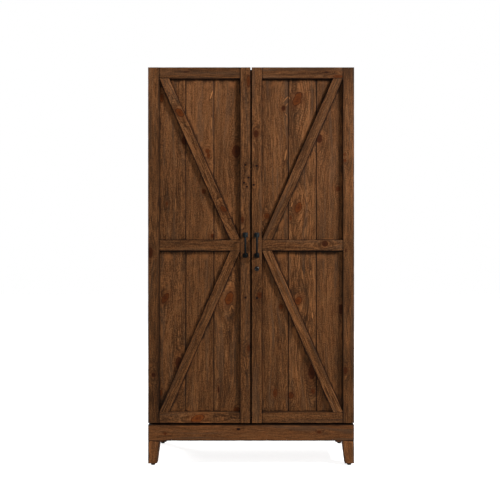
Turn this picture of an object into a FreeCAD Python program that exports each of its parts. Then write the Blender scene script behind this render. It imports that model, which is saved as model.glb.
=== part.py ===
import FreeCAD, Part
import Sketcher
import os
import re

# A tall two-door wine cabinet in knotty pine: planked doors with K braces, a cased body with bottle
# bins and stemware rails inside, and an apron base on four tapered legs with screw-in levellers.
# X runs along the front, the doors face -Y, Z is up, and the origin is on the floor below the middle.
SIZES = {
    # whole cabinet: depth is from the doors' faces to the back, height from floor to door tops
    "width": 965,
    "depth": 457,
    "height": 1865,
    # apron base on legs
    "leveller_height": 10,
    "leveller_radius": 12,
    "leveller_foot_radius": 9.5,
    "stud_radius": 4,
    "stud_length": 28,
    "stud_end_room": 2,
    "leg_height": 106,
    "leg_top": 56,
    "leg_foot": 43,
    "apron_height": 75.5,
    "apron_thickness": 30,
    "block_size": 62,
    "block_height": 50,
    "leg_bolt_radius": 4,
    "leg_bolt_length": 76,
    "leg_bolt_inset": 40,
    # cased body
    "wall": 22,
    "top_drop": 5,
    "back_thickness": 6,
    "back_lap": 10,
    "side_groove": 2.5,
    "wall_rail_height": 80,
    "wall_rail_thickness": 20,
    "anchor_spacing": 406.4,
    "anchor_radius": 3,
    # inside fittings
    "shelf_thickness": 20,
    "shelf_setback": 14,
    "shelf_play": 1,
    "shelf_level": 1400,
    "pin_radius": 2.5,
    "pin_length": 18,
    "pin_depth": 8,
    "pin_inset": 60,
    "pin_pitch": 32,
    "bin_height": 450,
    "divider_thickness": 12,
    "divider_setback": 20,
    "partition_thickness": 20,
    "stemware_pitch": 106,
    "web_width": 20,
    "web_height": 14,
    "flange_width": 80,
    "flange_height": 8,
    "stemware_length": 300,
    # doors
    "door_gap": 6,
    "door_thickness": 25,
    "base_reveal": 8,
    "stile_width": 52,
    "meeting_stile_width": 48,
    "rail_width": 51,
    "panel_recess": 13,
    "panel_thickness": 9,
    "panel_play": 2,
    "groove_depth": 10,
    "plank_bevel": 2.5,
    "tongue_length": 5,
    "tongue_thickness": 3,
    "brace_cut": 46,
    "brace_setback": 1,
    # hinges
    "hinge_gap": 3,
    "hinge_inset": 150,
    "hinge_length": 66,
    "knuckle_radius": 3.5,
    "barrel_clearance": 0.7,
    "hinge_pin_radius": 1.75,
    "leaf_clearance": 0.4,
    "leaf_thickness": 1.3,
    "leaf_width": 13,
    "leaf_screw_radius": 1.5,
    "leaf_screw_head": 2.6,
    "leaf_screw_length": 16,
    # pulls
    "handle_reach": 30,
    "handle_centres": 96,
    "pad_width": 23,
    "pad_height": 21,
    "pad_bevel": 3,
    "pad_thickness": 5,
    "bar_radius": 4.2,
    "bar_bend": 11,
    "handle_screw_radius": 2,
    "handle_screw_bite": 12,
    "handle_screw_head": 4,
    "handle_screw_head_height": 2.5,
    # lock in the right door
    "lock_drop": 110,
    "lock_face_radius": 11.5,
    "lock_face_height": 2.5,
    "lock_barrel_radius": 9,
    "lock_plug_radius": 6,
    "lock_tail": 7,
    "lock_nut_radius": 13.5,
    "lock_nut_height": 4,
    "key_slot_width": 1.6,
    "key_slot_length": 8,
    "key_slot_depth": 7,
    "cam_thickness": 2,
    "cam_width": 14,
    "cam_reach": 25,
    "strike_thickness": 2,
    "strike_width": 26,
    "strike_flange": 24,
    "strike_lip": 13,
    "strike_clearance": 1,
    # slide bolt on the left door
    "bolt_radius": 3,
    "bolt_length": 88,
    "bolt_offset": 13,
    "bolt_throw": 16,
    "bolt_rest_gap": 4,
    "bolt_end_show": 4,
    "bolt_socket_size": 10,
    "bolt_plate_width": 20,
    "bolt_plate_thickness": 2,
    "bolt_guide_height": 12,
    "bolt_guide_wall": 3,
    "bolt_knob_radius": 2.5,
    "bolt_knob_length": 14,
    # magnetic catches
    "catch_length": 46,
    "catch_depth": 16,
    "catch_height": 13,
    "catch_place": 120,
    "catch_plate_thickness": 1.2,
    "catch_plate_margin": 3,
    "catch_clearance": 0.3,
    # fits
    "running_fit": 0.05,
    "wood_fit": 0.1,
}

PIN_ROWS = 5
STEMWARE_RAILS = 5
PLANKS = 3
KNUCKLES = 3

# Levels, faces and centre lines that follow from the sizes.
PLACES = {
    "outer": "-width / 2",
    "inner": "outer + wall",
    "inside_width": "width - 2 * wall",
    "door_front": "(handle_reach - depth) / 2",
    "door_back": "door_front + door_thickness",
    "case_front": "door_back + hinge_gap",
    "case_back": "(handle_reach + depth) / 2",
    "inner_back": "case_back - back_thickness",
    "shelf_front": "case_front + shelf_setback",
    "shelf_depth": "inner_back - shelf_front",
    "apron_bottom": "leveller_height + leg_height",
    "base_top": "apron_bottom + apron_height",
    "floor_top": "base_top + wall",
    "case_top": "height - top_drop",
    "ceiling": "case_top - wall",
    "door_bottom": "base_top + base_reveal",
    "door_height": "height - door_bottom",
    "door_middle": "door_bottom + door_height / 2",
    "stile_edge": "outer + stile_width",
    "meeting_edge": "-door_gap / 2",
    "meeting_inner": "meeting_edge - meeting_stile_width",
    "opening_width": "meeting_inner - stile_edge",
    "panel_front": "door_front + panel_recess",
    "panel_back": "panel_front + panel_thickness",
    "groove_front": "panel_front - wood_fit",
    "groove_back": "panel_back + wood_fit",
    "panel_bite": "groove_depth - panel_play",
    "plank_width": f"(opening_width + 2 * panel_bite) / {PLANKS}",
    "tongue_front": "panel_front + (panel_thickness - tongue_thickness) / 2",
    "tongue_back": "tongue_front + tongue_thickness",
    "middle_rail_bottom": "door_middle - rail_width / 2",
    "middle_rail_top": "door_middle + rail_width / 2",
    "bottom_rail_top": "door_bottom + rail_width",
    "top_rail_bottom": "height - rail_width",
    "hinge_x": "outer + knuckle_radius",
    "hinge_y": "door_back + hinge_gap / 2",
    "hinge_chamfer": "knuckle_radius - hinge_gap / 2 + sqrt(2) * (knuckle_radius + barrel_clearance)",
    "leaf_start": "hinge_x + knuckle_radius + leaf_clearance",
    "leaf_middle": "leaf_start + leaf_width / 2",
    "knuckle_length": f"hinge_length / {KNUCKLES}",
    "pull_x": "meeting_edge - meeting_stile_width / 2",
    "bar_centre": "door_front - handle_reach + bar_radius",
    "lock_x": "-pull_x",
    "lock_z": "door_middle - lock_drop",
    "serving_bottom": "lock_z + cam_reach + strike_clearance + strike_thickness",
    "cam_front": "door_back + lock_tail",
    "bin_top": "floor_top + bin_height",
    "bay_width": "inside_width / 2 - partition_thickness / 2",
    "bay_diagonal": "sqrt(bay_width ^ 2 + bin_height ^ 2)",
    "corner_along": "divider_thickness * bay_diagonal / (2 * bin_height)",
    "corner_up": "divider_thickness * bay_diagonal / (2 * bay_width)",
    "divider_front": "shelf_front + divider_setback",
    "divider_depth": "inner_back - divider_front",
    "bolt_y": "door_back + bolt_offset",
    "bolt_bottom": "ceiling - bolt_rest_gap - bolt_length",
    "bolt_plate_length": "bolt_length - 2 * bolt_end_show",
    "catch_front": "door_back + catch_plate_thickness + catch_clearance",
    "foot_middle": "leg_foot / 2",
}

doc = FreeCAD.newDocument("wine_cabinet")
sheet = doc.addObject("Spreadsheet::Sheet", "sizes")
for row, (alias, size) in enumerate(SIZES.items(), start=1):
    sheet.set(f"A{row}", alias)
    sheet.set(f"B{row}", str(size))
    sheet.setAlias(f"B{row}", alias)
doc.recompute()

nodes = {}


def formula(rule):
    """Spell a rule out as an expression on the sheet's cells."""
    def spell(match):
        name = match.group(0)
        if name in PLACES:
            return "(" + formula(PLACES[name]) + ")"
        return "sizes." + name if name in SIZES else name
    return re.sub(r"[a-z][a-z_]*", spell, str(rule))


def value(rule):
    """Work a rule out as a number."""
    return float(sheet.evalExpression(formula(rule)))


def bind(item, rules):
    """Tie an object's properties to the sheet."""
    for path, rule in rules.items():
        item.setExpression(path, formula(rule))
    return item


def place(item, x, y, z):
    return bind(item, {"Placement.Base.x": x, "Placement.Base.y": y, "Placement.Base.z": z})


def keep(label, item):
    """Name a finished sub-part."""
    item.Label = label
    nodes[label] = item
    return item


def box(x, y, z):
    """A squared board: x, y and z each give where it starts and its length."""
    item = bind(doc.addObject("Part::Box", "board"), {"Length": x[1], "Width": y[1], "Height": z[1]})
    return place(item, x[0], y[0], z[0])


TURNS = {
    "x": FreeCAD.Rotation(FreeCAD.Vector(0, 1, 0), 90),
    "y": FreeCAD.Rotation(FreeCAD.Vector(1, 0, 0), -90),
    "z": FreeCAD.Rotation(),
}


def rod(along, start, length, radius):
    """A round bar along one axis from its start point."""
    item = doc.addObject("Part::Cylinder", "rod")
    item.Placement = FreeCAD.Placement(FreeCAD.Vector(), TURNS[along])
    bind(item, {"Radius": radius, "Height": length})
    return place(item, *start)


def cone(along, start, length, first_radius, last_radius):
    """A tapered round bar along one axis from its start point."""
    item = doc.addObject("Part::Cone", "taper")
    item.Placement = FreeCAD.Placement(FreeCAD.Vector(), TURNS[along])
    bind(item, {"Radius1": first_radius, "Radius2": last_radius, "Height": length})
    return place(item, *start)


def fused(*items):
    item = doc.addObject("Part::MultiFuse", "joined")
    item.Shapes = list(items)
    item.Refine = True
    return item


def group(items):
    """Separate solids that share a node."""
    item = doc.addObject("Part::Compound", "set")
    item.Links = list(items)
    return item


def cut(base, *tools):
    item = doc.addObject("Part::Cut", "cut")
    item.Base = base
    item.Tool = tools[0] if len(tools) == 1 else group(tools)
    return item


def mirrored(source):
    """The same piece on the other side of the cabinet's middle."""
    item = doc.addObject("Part::Mirroring", "mirrored")
    item.Source = source
    item.Normal = FreeCAD.Vector(1, 0, 0)
    return item


def keep_pair(label, item):
    """A left-hand piece and its right-hand twin."""
    keep("left_" + label, item)
    return keep("right_" + label, mirrored(item))


def profiled(plane, corners, length, at):
    """A straight-sided outline on one origin plane, padded along the plane's normal.

    Corners are pairs of rules in the plane's two axes; every corner is dimensioned from the origin.
    The pad starts at the place in at and runs to +Z from XY_Plane, -Y from XZ_Plane, +X from YZ_Plane.
    """
    body = doc.addObject("PartDesign::Body", "body")
    sketch = body.newObject("Sketcher::SketchObject", "outline")
    support = [item for item in body.Origin.OriginFeatures if item.Role == plane][0]
    sketch.AttachmentSupport = [(support, "")]
    sketch.MapMode = "FlatFace"
    spots = [FreeCAD.Vector(value(across), value(up), 0) for across, up in corners]
    count = len(spots)
    for index in range(count):
        sketch.addGeometry(Part.LineSegment(spots[index], spots[(index + 1) % count]))
    for index in range(count):
        sketch.addConstraint(Sketcher.Constraint("Coincident", index, 2, (index + 1) % count, 1))
    for index, (across, up) in enumerate(corners):
        for kind, spot, rule in (("DistanceX", spots[index].x, across), ("DistanceY", spots[index].y, up)):
            number = sketch.addConstraint(Sketcher.Constraint(kind, -1, 1, index, 1, spot))
            sketch.setExpression(f"Constraints[{number}]", formula(rule))
    pad = bind(body.newObject("PartDesign::Pad", "pad"), {"Length": length})
    pad.Profile = sketch
    body.Tip = pad
    axis = {"XY_Plane": "z", "XZ_Plane": "y", "YZ_Plane": "x"}[plane]
    return bind(body, {"Placement.Base." + axis: at})


# Base: four apron boards round corner blocks.
apron_span = ("apron_bottom", "apron_height")
keep("base_front_rail", box(("outer", "width"), ("door_front", "apron_thickness"), apron_span))
keep("base_back_rail", box(("outer", "width"), ("case_back - apron_thickness", "apron_thickness"), apron_span))
side_rail = box(("outer", "apron_thickness"), ("door_front + apron_thickness", "depth - 2 * apron_thickness"),
                apron_span)
keep("base_side_rails", group([side_rail, mirrored(side_rail)]))

left_blocks = [box(("outer + apron_thickness", "block_size"), (start, "block_size"),
                   ("apron_bottom", "block_height"))
               for start in ("door_front + apron_thickness", "case_back - apron_thickness - block_size")]
keep("corner_blocks", group(left_blocks + [mirrored(block) for block in left_blocks]))


# Legs: square blocks whose two inner faces taper to the foot, bored for the levellers' studs.
def foot_line(front):
    """The rule for the middle of the foot, front to back."""
    return "door_front + foot_middle" if front else "case_back - foot_middle"


def leg(front):
    """A left-hand leg; its outer faces are upright and flush with the apron."""
    item = doc.addObject("Part::Wedge", "leg")
    item.Placement = FreeCAD.Placement(FreeCAD.Vector(), FreeCAD.Rotation(FreeCAD.Vector(1, 0, 0), 90))
    bind(item, {
        "Xmin": "0", "Xmax": "leg_foot", "X2min": "0", "X2max": "leg_top",
        "Ymin": "0", "Ymax": "leg_height",
        "Zmin": "-leg_foot" if front else "0", "Zmax": "0" if front else "leg_foot",
        "Z2min": "-leg_top" if front else "0", "Z2max": "0" if front else "leg_top",
    })
    place(item, "outer", "door_front" if front else "case_back", "leveller_height")
    bore = rod("z", ("outer + foot_middle", foot_line(front), "leveller_height"),
               "stud_length + stud_end_room", "stud_radius + wood_fit")
    return cut(item, bore)


def leveller(front):
    """A tapered glide on a threaded stud."""
    start = ("outer + foot_middle", foot_line(front))
    glide = cone("z", start + ("0",), "leveller_height", "leveller_foot_radius", "leveller_radius")
    stud = rod("z", start + ("0",), "leveller_height + stud_length", "stud_radius")
    return fused(glide, stud)


for end in ("front", "back"):
    for name, make in (("leg", leg), ("leveller", leveller)):
        piece = make(end == "front")
        keep(f"{end}_left_{name}", piece)
        keep(f"{end}_right_{name}", mirrored(piece))


# Cased body. Each side is a planked panel with two V grooves outside, a rebate for the back, and a
# bevelled front edge that lets the hinge barrels lie inside the outline.
def side_panel():
    corners = [("outer + hinge_chamfer", "case_front"), ("inner", "case_front"), ("inner", "inner_back"),
               ("inner - back_lap", "inner_back"), ("inner - back_lap", "case_back"), ("outer", "case_back")]
    for share in ("2 / 3", "1 / 3"):
        middle = f"case_front + {share} * (case_back - case_front)"
        corners += [("outer", middle + " + side_groove"), ("outer + side_groove", middle),
                    ("outer", middle + " - side_groove")]
    corners.append(("outer", "case_front + hinge_chamfer"))
    return profiled("XY_Plane", corners, "ceiling - base_top", "base_top")


pin_columns = ("shelf_front + pin_inset", "inner_back - pin_inset")
pin_holes = []
for column in pin_columns:
    for step in range(PIN_ROWS):
        level = f"shelf_level - pin_radius + {step - (PIN_ROWS - 1) / 2} * pin_pitch"
        pin_holes.append(rod("x", ("inner - pin_depth", column, level), "pin_depth + wood_fit",
                             "pin_radius + running_fit"))
keep_pair("side", cut(side_panel(), *pin_holes))

top_corners = [("outer + hinge_chamfer", "case_front"), ("-outer - hinge_chamfer", "case_front"),
               ("-outer", "case_front + hinge_chamfer"), ("-outer", "case_back"), ("outer", "case_back"),
               ("outer", "case_front + hinge_chamfer")]
bolt_socket = box(("pull_x - bolt_socket_size / 2", "bolt_socket_size"),
                  ("bolt_y - bolt_socket_size / 2", "bolt_socket_size"), ("ceiling", "bolt_throw"))
keep("top_panel", cut(profiled("XY_Plane", top_corners, "wall", "ceiling"), bolt_socket))
keep("bottom_panel", box(("inner", "inside_width"), ("case_front", "inner_back - case_front"),
                         ("base_top", "wall")))

anchor_level = "ceiling - wall_rail_height / 2"
anchor_holes = [rod("y", (f"{side} * anchor_spacing / 2", "inner_back - wall_rail_thickness", anchor_level),
                    "wall_rail_thickness + back_thickness", "anchor_radius") for side in (-1, 1)]
back = box(("inner - back_lap", "inside_width + 2 * back_lap"), ("inner_back", "back_thickness"),
           ("base_top", "ceiling - base_top"))
keep("back_panel", cut(back, *anchor_holes))
rail = box(("inner", "inside_width"), ("inner_back - wall_rail_thickness", "wall_rail_thickness"),
           ("ceiling - wall_rail_height", "wall_rail_height"))
keep("wall_rail", cut(rail, *anchor_holes))

# Shelves: two fixed ones and one on pins that carries the stemware rails.
for label, level in (("serving_shelf", "serving_bottom"), ("bin_shelf", "bin_top")):
    keep(label, box(("inner", "inside_width"), ("shelf_front", "shelf_depth"), (level, "shelf_thickness")))
keep("adjustable_shelf", box(("inner + shelf_play", "inside_width - 2 * shelf_play"),
                             ("shelf_front", "shelf_depth - shelf_play"), ("shelf_level", "shelf_thickness")))
left_pins = [rod("x", ("inner - pin_depth", column, "shelf_level - pin_radius"), "pin_length", "pin_radius")
             for column in pin_columns]
keep("shelf_pins", group(left_pins + [mirrored(pin) for pin in left_pins]))

stemware = []
for number in range(STEMWARE_RAILS):
    centre = f"{number - (STEMWARE_RAILS - 1) / 2} * stemware_pitch"
    stemware.append(box((centre + " - web_width / 2", "web_width"), ("shelf_front", "stemware_length"),
                        ("shelf_level - web_height", "web_height")))
    stemware.append(box((centre + " - flange_width / 2", "flange_width"), ("shelf_front", "stemware_length"),
                        ("shelf_level - web_height - flange_height", "flange_height")))
keep("stemware_rails", group(stemware))

# Bottle bins: a partition, and in each bay two boards lapped into an X from corner to corner.
keep("bin_partition", box(("-partition_thickness / 2", "partition_thickness"), ("shelf_front", "shelf_depth"),
                          ("floor_top", "bin_height")))


def divider(rising, depth, back_edge):
    """A diagonal board of the left bay whose pointed ends fill the bay's corners."""
    right = "inner + bay_width"
    low, high = ("inner", right) if rising else (right, "inner")
    inward = 1 if rising else -1
    corners = [(low, "floor_top"), (f"{low} + {inward} * corner_along", "floor_top"),
               (high, "bin_top - corner_up"), (high, "bin_top"),
               (f"{high} - {inward} * corner_along", "bin_top"), (low, "floor_top + corner_up")]
    return profiled("XZ_Plane", corners, depth, back_edge)


half_depth = "divider_depth / 2"
half_line = "divider_front + divider_depth / 2"
rising_board = cut(divider(True, "divider_depth", "inner_back"), divider(False, half_depth, "inner_back"))
falling_board = cut(divider(False, "divider_depth", "inner_back"), divider(True, half_depth, half_line))
keep_pair("bin_dividers", group([rising_board, falling_board]))


# Doors: framed planks with an applied middle rail and two braces; the right door mirrors the left.
outer_stile = profiled("XY_Plane", [
    ("outer", "door_front"), ("stile_edge", "door_front"), ("stile_edge", "groove_front"),
    ("stile_edge - groove_depth", "groove_front"), ("stile_edge - groove_depth", "groove_back"),
    ("stile_edge", "groove_back"), ("stile_edge", "door_back"),
    ("outer + hinge_chamfer", "door_back"), ("outer", "door_back - hinge_chamfer"),
], "door_height", "door_bottom")
keep_pair("door_outer_stile", outer_stile)

meeting_stile = profiled("XY_Plane", [
    ("meeting_inner", "door_front"), ("meeting_edge", "door_front"), ("meeting_edge", "door_back"),
    ("meeting_inner", "door_back"), ("meeting_inner", "groove_back"),
    ("meeting_inner + groove_depth", "groove_back"), ("meeting_inner + groove_depth", "groove_front"),
    ("meeting_inner", "groove_front"),
], "door_height", "door_bottom")
pull_screw_levels = [f"door_middle + {side} * handle_centres / 2" for side in (-1, 1)]
screw_holes = [rod("y", ("pull_x", "door_front", level), "door_thickness", "handle_screw_radius + wood_fit")
               for level in pull_screw_levels]
bored_stile = cut(meeting_stile, *screw_holes)
keep("left_door_meeting_stile", bored_stile)
lock_hole = rod("y", ("lock_x", "door_front", "lock_z"), "door_thickness", "lock_barrel_radius + wood_fit")
keep("right_door_meeting_stile", cut(mirrored(bored_stile), lock_hole))


def frame_rail(edge, groove_edge, inward):
    """A top or bottom rail: grooved on its inner edge, with stub tenons in the stiles' grooves.

    edge is the rail's outside level, groove_edge its inside level, and inward is 1 where the door's
    middle lies above the rail and -1 where it lies below.
    """
    groove_floor = f"{groove_edge} - {inward} * groove_depth"
    corners = [("door_front", edge), ("door_front", groove_edge), ("groove_front", groove_edge),
               ("groove_front", groove_floor), ("groove_back", groove_floor), ("groove_back", groove_edge),
               ("door_back", groove_edge), ("door_back", edge)]
    middle = profiled("YZ_Plane", corners, "opening_width", "stile_edge")
    low = edge if inward > 0 else groove_floor
    tenon = box(("stile_edge - panel_bite", "opening_width + 2 * panel_bite"),
                ("panel_front", "panel_thickness"), (low, "rail_width - groove_depth"))
    return fused(middle, tenon)


keep_pair("door_top_rail", frame_rail("height", "top_rail_bottom", -1))
keep_pair("door_bottom_rail", frame_rail("door_bottom", "bottom_rail_top", 1))
keep_pair("door_middle_rail", box(("stile_edge", "opening_width"), ("door_front", "panel_recess"),
                                  ("middle_rail_bottom", "rail_width")))


def plank(number):
    """One tongued and grooved plank, bevelled where it meets its neighbours, counted from the hinge side."""
    left = f"stile_edge - panel_bite + {number} * plank_width"
    right = f"{left} + plank_width"
    if number == 0:
        corners = [(left, "panel_back"), (left, "panel_front")]
    else:
        corners = [(left, "panel_back"), (left, "tongue_back + wood_fit"),
                   (left + " + tongue_length + wood_fit", "tongue_back + wood_fit"),
                   (left + " + tongue_length + wood_fit", "tongue_front - wood_fit"),
                   (left, "tongue_front - wood_fit"), (left, "panel_front + plank_bevel"),
                   (left + " + plank_bevel", "panel_front")]
    if number == PLANKS - 1:
        corners += [(right, "panel_front"), (right, "panel_back")]
    else:
        corners += [(right + " - plank_bevel", "panel_front"), (right, "panel_front + plank_bevel"),
                    (right, "tongue_front"), (right + " + tongue_length", "tongue_front"),
                    (right + " + tongue_length", "tongue_back"), (right, "tongue_back"),
                    (right, "panel_back")]
    return profiled("XY_Plane", corners, "top_rail_bottom - bottom_rail_top + 2 * panel_bite",
                    "bottom_rail_top - panel_bite")


keep_pair("door_planks", group([plank(number) for number in range(PLANKS)]))

upper_brace = [("stile_edge", "top_rail_bottom"), ("stile_edge + brace_cut", "top_rail_bottom"),
               ("meeting_inner", "middle_rail_top"), ("meeting_inner - brace_cut", "middle_rail_top")]
lower_brace = [("meeting_inner - brace_cut", "middle_rail_bottom"), ("meeting_inner", "middle_rail_bottom"),
               ("stile_edge + brace_cut", "bottom_rail_top"), ("stile_edge", "bottom_rail_top")]
for label, corners in (("upper", upper_brace), ("lower", lower_brace)):
    brace = profiled("XZ_Plane", corners, "panel_recess - brace_setback", "panel_front")
    keep_pair(f"door_{label}_brace", brace)


# Hinges: three butt hinges a side, each with one door knuckle between two cabinet knuckles.
HINGE_PLACES = (-1, 0, 1)


def hinge_start(place_up):
    """The rule for a hinge's lower end; place_up is -1, 0 or 1 from the bottom hinge to the top."""
    return f"door_middle + {place_up} * (door_height / 2 - hinge_inset) - hinge_length / 2"


def hinge_leaf(start, face, knuckles):
    """A leaf with its back on the wood; face is the rule for its front face along Y."""
    pieces = [box(("leaf_start", "leaf_width"), (face, "leaf_thickness"), (start, "hinge_length"))]
    for number in knuckles:
        level = f"{start} + {number} * knuckle_length + barrel_clearance / 2"
        tall = "knuckle_length - barrel_clearance"
        pieces.append(box(("hinge_x", "leaf_start - hinge_x"), (face, "leaf_thickness"), (level, tall)))
        pieces.append(rod("z", ("hinge_x", "hinge_y", level), tall, "knuckle_radius"))
    bore = rod("z", ("hinge_x", "hinge_y", start), "hinge_length", "hinge_pin_radius + running_fit")
    return cut(fused(*pieces), bore)


def leaf_screw(level, face, inward, slack):
    """A countersunk screw, or with slack the hole it passes through; inward is the way it points along Y."""
    narrow, wide = f"leaf_screw_radius + {slack}", f"leaf_screw_head + {slack}"
    if inward > 0:
        head = cone("y", ("leaf_middle", face, level), "leaf_thickness", wide, narrow)
        shank_start = face
    else:
        head = cone("y", ("leaf_middle", face, level), "leaf_thickness", narrow, wide)
        shank_start = f"{face} + leaf_thickness - leaf_screw_length"
    if slack != "0":
        return head
    return fused(head, rod("y", ("leaf_middle", shank_start, level), "leaf_screw_length", narrow))


def leaf_set(face, knuckles, inward):
    """The three leaves of one side, and the screws that hold them."""
    leaves, screws = [], []
    for place_up in HINGE_PLACES:
        start = hinge_start(place_up)
        levels = [f"{start} + ({number} + 0.5) * knuckle_length" for number in range(KNUCKLES)]
        holes = [leaf_screw(level, face, inward, "wood_fit") for level in levels]
        leaves.append(cut(hinge_leaf(start, face, knuckles), *holes))
        screws += [leaf_screw(level, face, inward, "0") for level in levels]
    return leaves, screws


door_leaves, door_leaf_screws = leaf_set("door_back", (1,), -1)
keep_pair("door_hinge_leaves", group(door_leaves))
case_leaves, case_leaf_screws = leaf_set("case_front - leaf_thickness", (0, 2), 1)
keep("cabinet_hinge_leaves", group(case_leaves + [mirrored(leaf) for leaf in case_leaves]))
pins = [rod("z", ("hinge_x", "hinge_y", hinge_start(place_up)), "hinge_length", "hinge_pin_radius")
        for place_up in HINGE_PLACES]
keep("hinge_pins", group(pins + [mirrored(pin) for pin in pins]))

leg_bolts = [rod("z", ("outer + leg_bolt_inset", line, "apron_bottom - leg_bolt_length / 2"),
                 "leg_bolt_length", "leg_bolt_radius")
             for line in ("door_front + leg_bolt_inset", "case_back - leg_bolt_inset")]
left_fasteners = case_leaf_screws + leg_bolts
keep("cabinet_fasteners", group(left_fasteners + [mirrored(item) for item in left_fasteners]))


# Pulls: a bent round bar on two bevelled square pads, screwed on from inside.
def pad(level):
    item = doc.addObject("Part::Wedge", "pad")
    bind(item, {
        "Xmin": "pad_bevel", "Xmax": "pad_width - pad_bevel", "X2min": "0", "X2max": "pad_width",
        "Zmin": "pad_bevel", "Zmax": "pad_height - pad_bevel", "Z2min": "0", "Z2max": "pad_height",
        "Ymin": "0", "Ymax": "pad_thickness",
    })
    return place(item, "pull_x - pad_width / 2", "door_front - pad_thickness", f"{level} - pad_height / 2")


def bend(level, upper):
    """A quarter turn from a post into the bar; upper is True at the top post."""
    item = doc.addObject("Part::Torus", "bend")
    turn = FreeCAD.Rotation(FreeCAD.Vector(0, 1, 0), 90)
    quarter = FreeCAD.Rotation(FreeCAD.Vector(1, 0, 0), 180 if upper else -90)
    item.Placement = FreeCAD.Placement(FreeCAD.Vector(), quarter * turn)
    item.Angle3 = 90
    bind(item, {"Radius1": "bar_bend", "Radius2": "bar_radius"})
    side = "-" if upper else "+"
    return place(item, "pull_x", "bar_centre + bar_bend", f"{level} {side} bar_bend")


def pull():
    low, high = pull_screw_levels
    bar_length = "handle_centres - 2 * bar_bend"
    post_length = "handle_reach - bar_radius - bar_bend"
    pieces = [rod("z", ("pull_x", "bar_centre", f"{low} + bar_bend"), bar_length, "bar_radius")]
    for level, upper in ((low, False), (high, True)):
        post = rod("y", ("pull_x", "bar_centre + bar_bend", level), post_length, "bar_radius")
        pieces += [pad(level), bend(level, upper), post]
    bores = [rod("y", ("pull_x", "door_front - handle_screw_bite", level), "handle_screw_bite",
                 "handle_screw_radius + running_fit") for level in pull_screw_levels]
    return cut(fused(*pieces), *bores)


keep_pair("door_pull", pull())


def pull_screw(level):
    shank = rod("y", ("pull_x", "door_front - handle_screw_bite", level),
                "handle_screw_bite + door_thickness", "handle_screw_radius")
    head = rod("y", ("pull_x", "door_back", level), "handle_screw_head_height", "handle_screw_head")
    return fused(shank, head)


keep_pair("door_screws", group(door_leaf_screws + [pull_screw(level) for level in pull_screw_levels]))


# Lock: a round cylinder through the right meeting stile; its plug turns a cam behind the shelf's strike.
face_line = "door_front - lock_face_height"
barrel_length = "lock_face_height + door_thickness + lock_tail"
bezel = cone("y", ("lock_x", face_line, "lock_z"), "lock_face_height",
             "lock_face_radius - lock_face_height / 2", "lock_face_radius")
barrel = rod("y", ("lock_x", face_line, "lock_z"), barrel_length, "lock_barrel_radius")
plug_bore = rod("y", ("lock_x", face_line, "lock_z"), barrel_length, "lock_plug_radius + running_fit")
keep("lock_cylinder", cut(fused(bezel, barrel), plug_bore))

nut = doc.addObject("Part::Prism", "nut")
nut.Polygon = 6
nut.Placement = FreeCAD.Placement(FreeCAD.Vector(), TURNS["y"])
bind(nut, {"Circumradius": "lock_nut_radius", "Height": "lock_nut_height"})
place(nut, "lock_x", "door_back", "lock_z")
keep("lock_nut", cut(nut, rod("y", ("lock_x", "door_back", "lock_z"), "lock_nut_height",
                              "lock_barrel_radius + running_fit")))

plug = rod("y", ("lock_x", face_line, "lock_z"), barrel_length, "lock_plug_radius")
key_slot = box(("lock_x - key_slot_width / 2", "key_slot_width"), (face_line, "key_slot_depth"),
               ("lock_z - key_slot_length / 2", "key_slot_length"))
cam = box(("lock_x - cam_width / 2", "cam_width / 2 + cam_reach"), ("cam_front", "cam_thickness"),
          ("lock_z - cam_width / 2", "cam_width"))
keep("lock_cam", fused(cut(plug, key_slot), cam))

strike_front = "cam_front - strike_clearance - strike_thickness"
lip = box(("lock_x - strike_width / 2", "strike_width"), (strike_front, "strike_thickness"),
          ("serving_bottom - strike_lip", "strike_lip"))
flange = box(("lock_x - strike_width / 2", "strike_width"),
             (strike_front, "shelf_front + strike_flange - (" + strike_front + ")"),
             ("serving_bottom - strike_thickness", "strike_thickness"))
keep("lock_strike", fused(lip, flange))


# Slide bolt inside the left door: a round bolt in two guides shoots up into the top panel.
bolt_start = ("pull_x", "bolt_y", "bolt_bottom")
plate_level = "bolt_bottom + bolt_end_show"
plate = box(("pull_x - bolt_plate_width / 2", "bolt_plate_width"), ("door_back", "bolt_plate_thickness"),
            (plate_level, "bolt_plate_length"))
guide_width = "2 * (bolt_radius + bolt_guide_wall)"
guides = [box(("pull_x - bolt_radius - bolt_guide_wall", guide_width),
              ("door_back", "bolt_offset + bolt_radius + bolt_guide_wall"), (level, "bolt_guide_height"))
          for level in (plate_level, plate_level + " + bolt_plate_length - bolt_guide_height")]
guide_bore = rod("z", bolt_start, "bolt_length", "bolt_radius + running_fit")
keep("bolt_housing", cut(fused(plate, *guides), guide_bore))
knob_level = "bolt_bottom + bolt_length / 2 - bolt_throw / 2"
knob = rod("y", ("pull_x", "bolt_y", knob_level), "bolt_knob_length", "bolt_knob_radius")
keep("slide_bolt", fused(rod("z", bolt_start, "bolt_length", "bolt_radius"), knob))

# Magnetic catches at the top and bottom of each door, with their plates on the rails.
catches, plates = [], []
for level in ("ceiling - catch_height", "floor_top"):
    catches.append(box(("-catch_place - catch_length / 2", "catch_length"), ("catch_front", "catch_depth"),
                       (level, "catch_height")))
    plates.append(box(("-catch_place - catch_length / 2 + catch_plate_margin",
                       "catch_length - 2 * catch_plate_margin"),
                      ("door_back", "catch_plate_thickness"), (level, "catch_height")))
keep("magnetic_catches", group(catches + [mirrored(item) for item in catches]))
keep_pair("door_catch_plates", group(plates))

doc.recompute()
for item in doc.Objects:
    if "Invalid" in item.State or "Error" in item.State:
        raise RuntimeError(f"{item.Label} ({item.Name}) failed: {item.State}")
for label, item in nodes.items():
    if item.Shape.isNull() or not item.Shape.isValid() or not item.Shape.Solids:
        raise RuntimeError(f"{label} has no sound shape")

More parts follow.
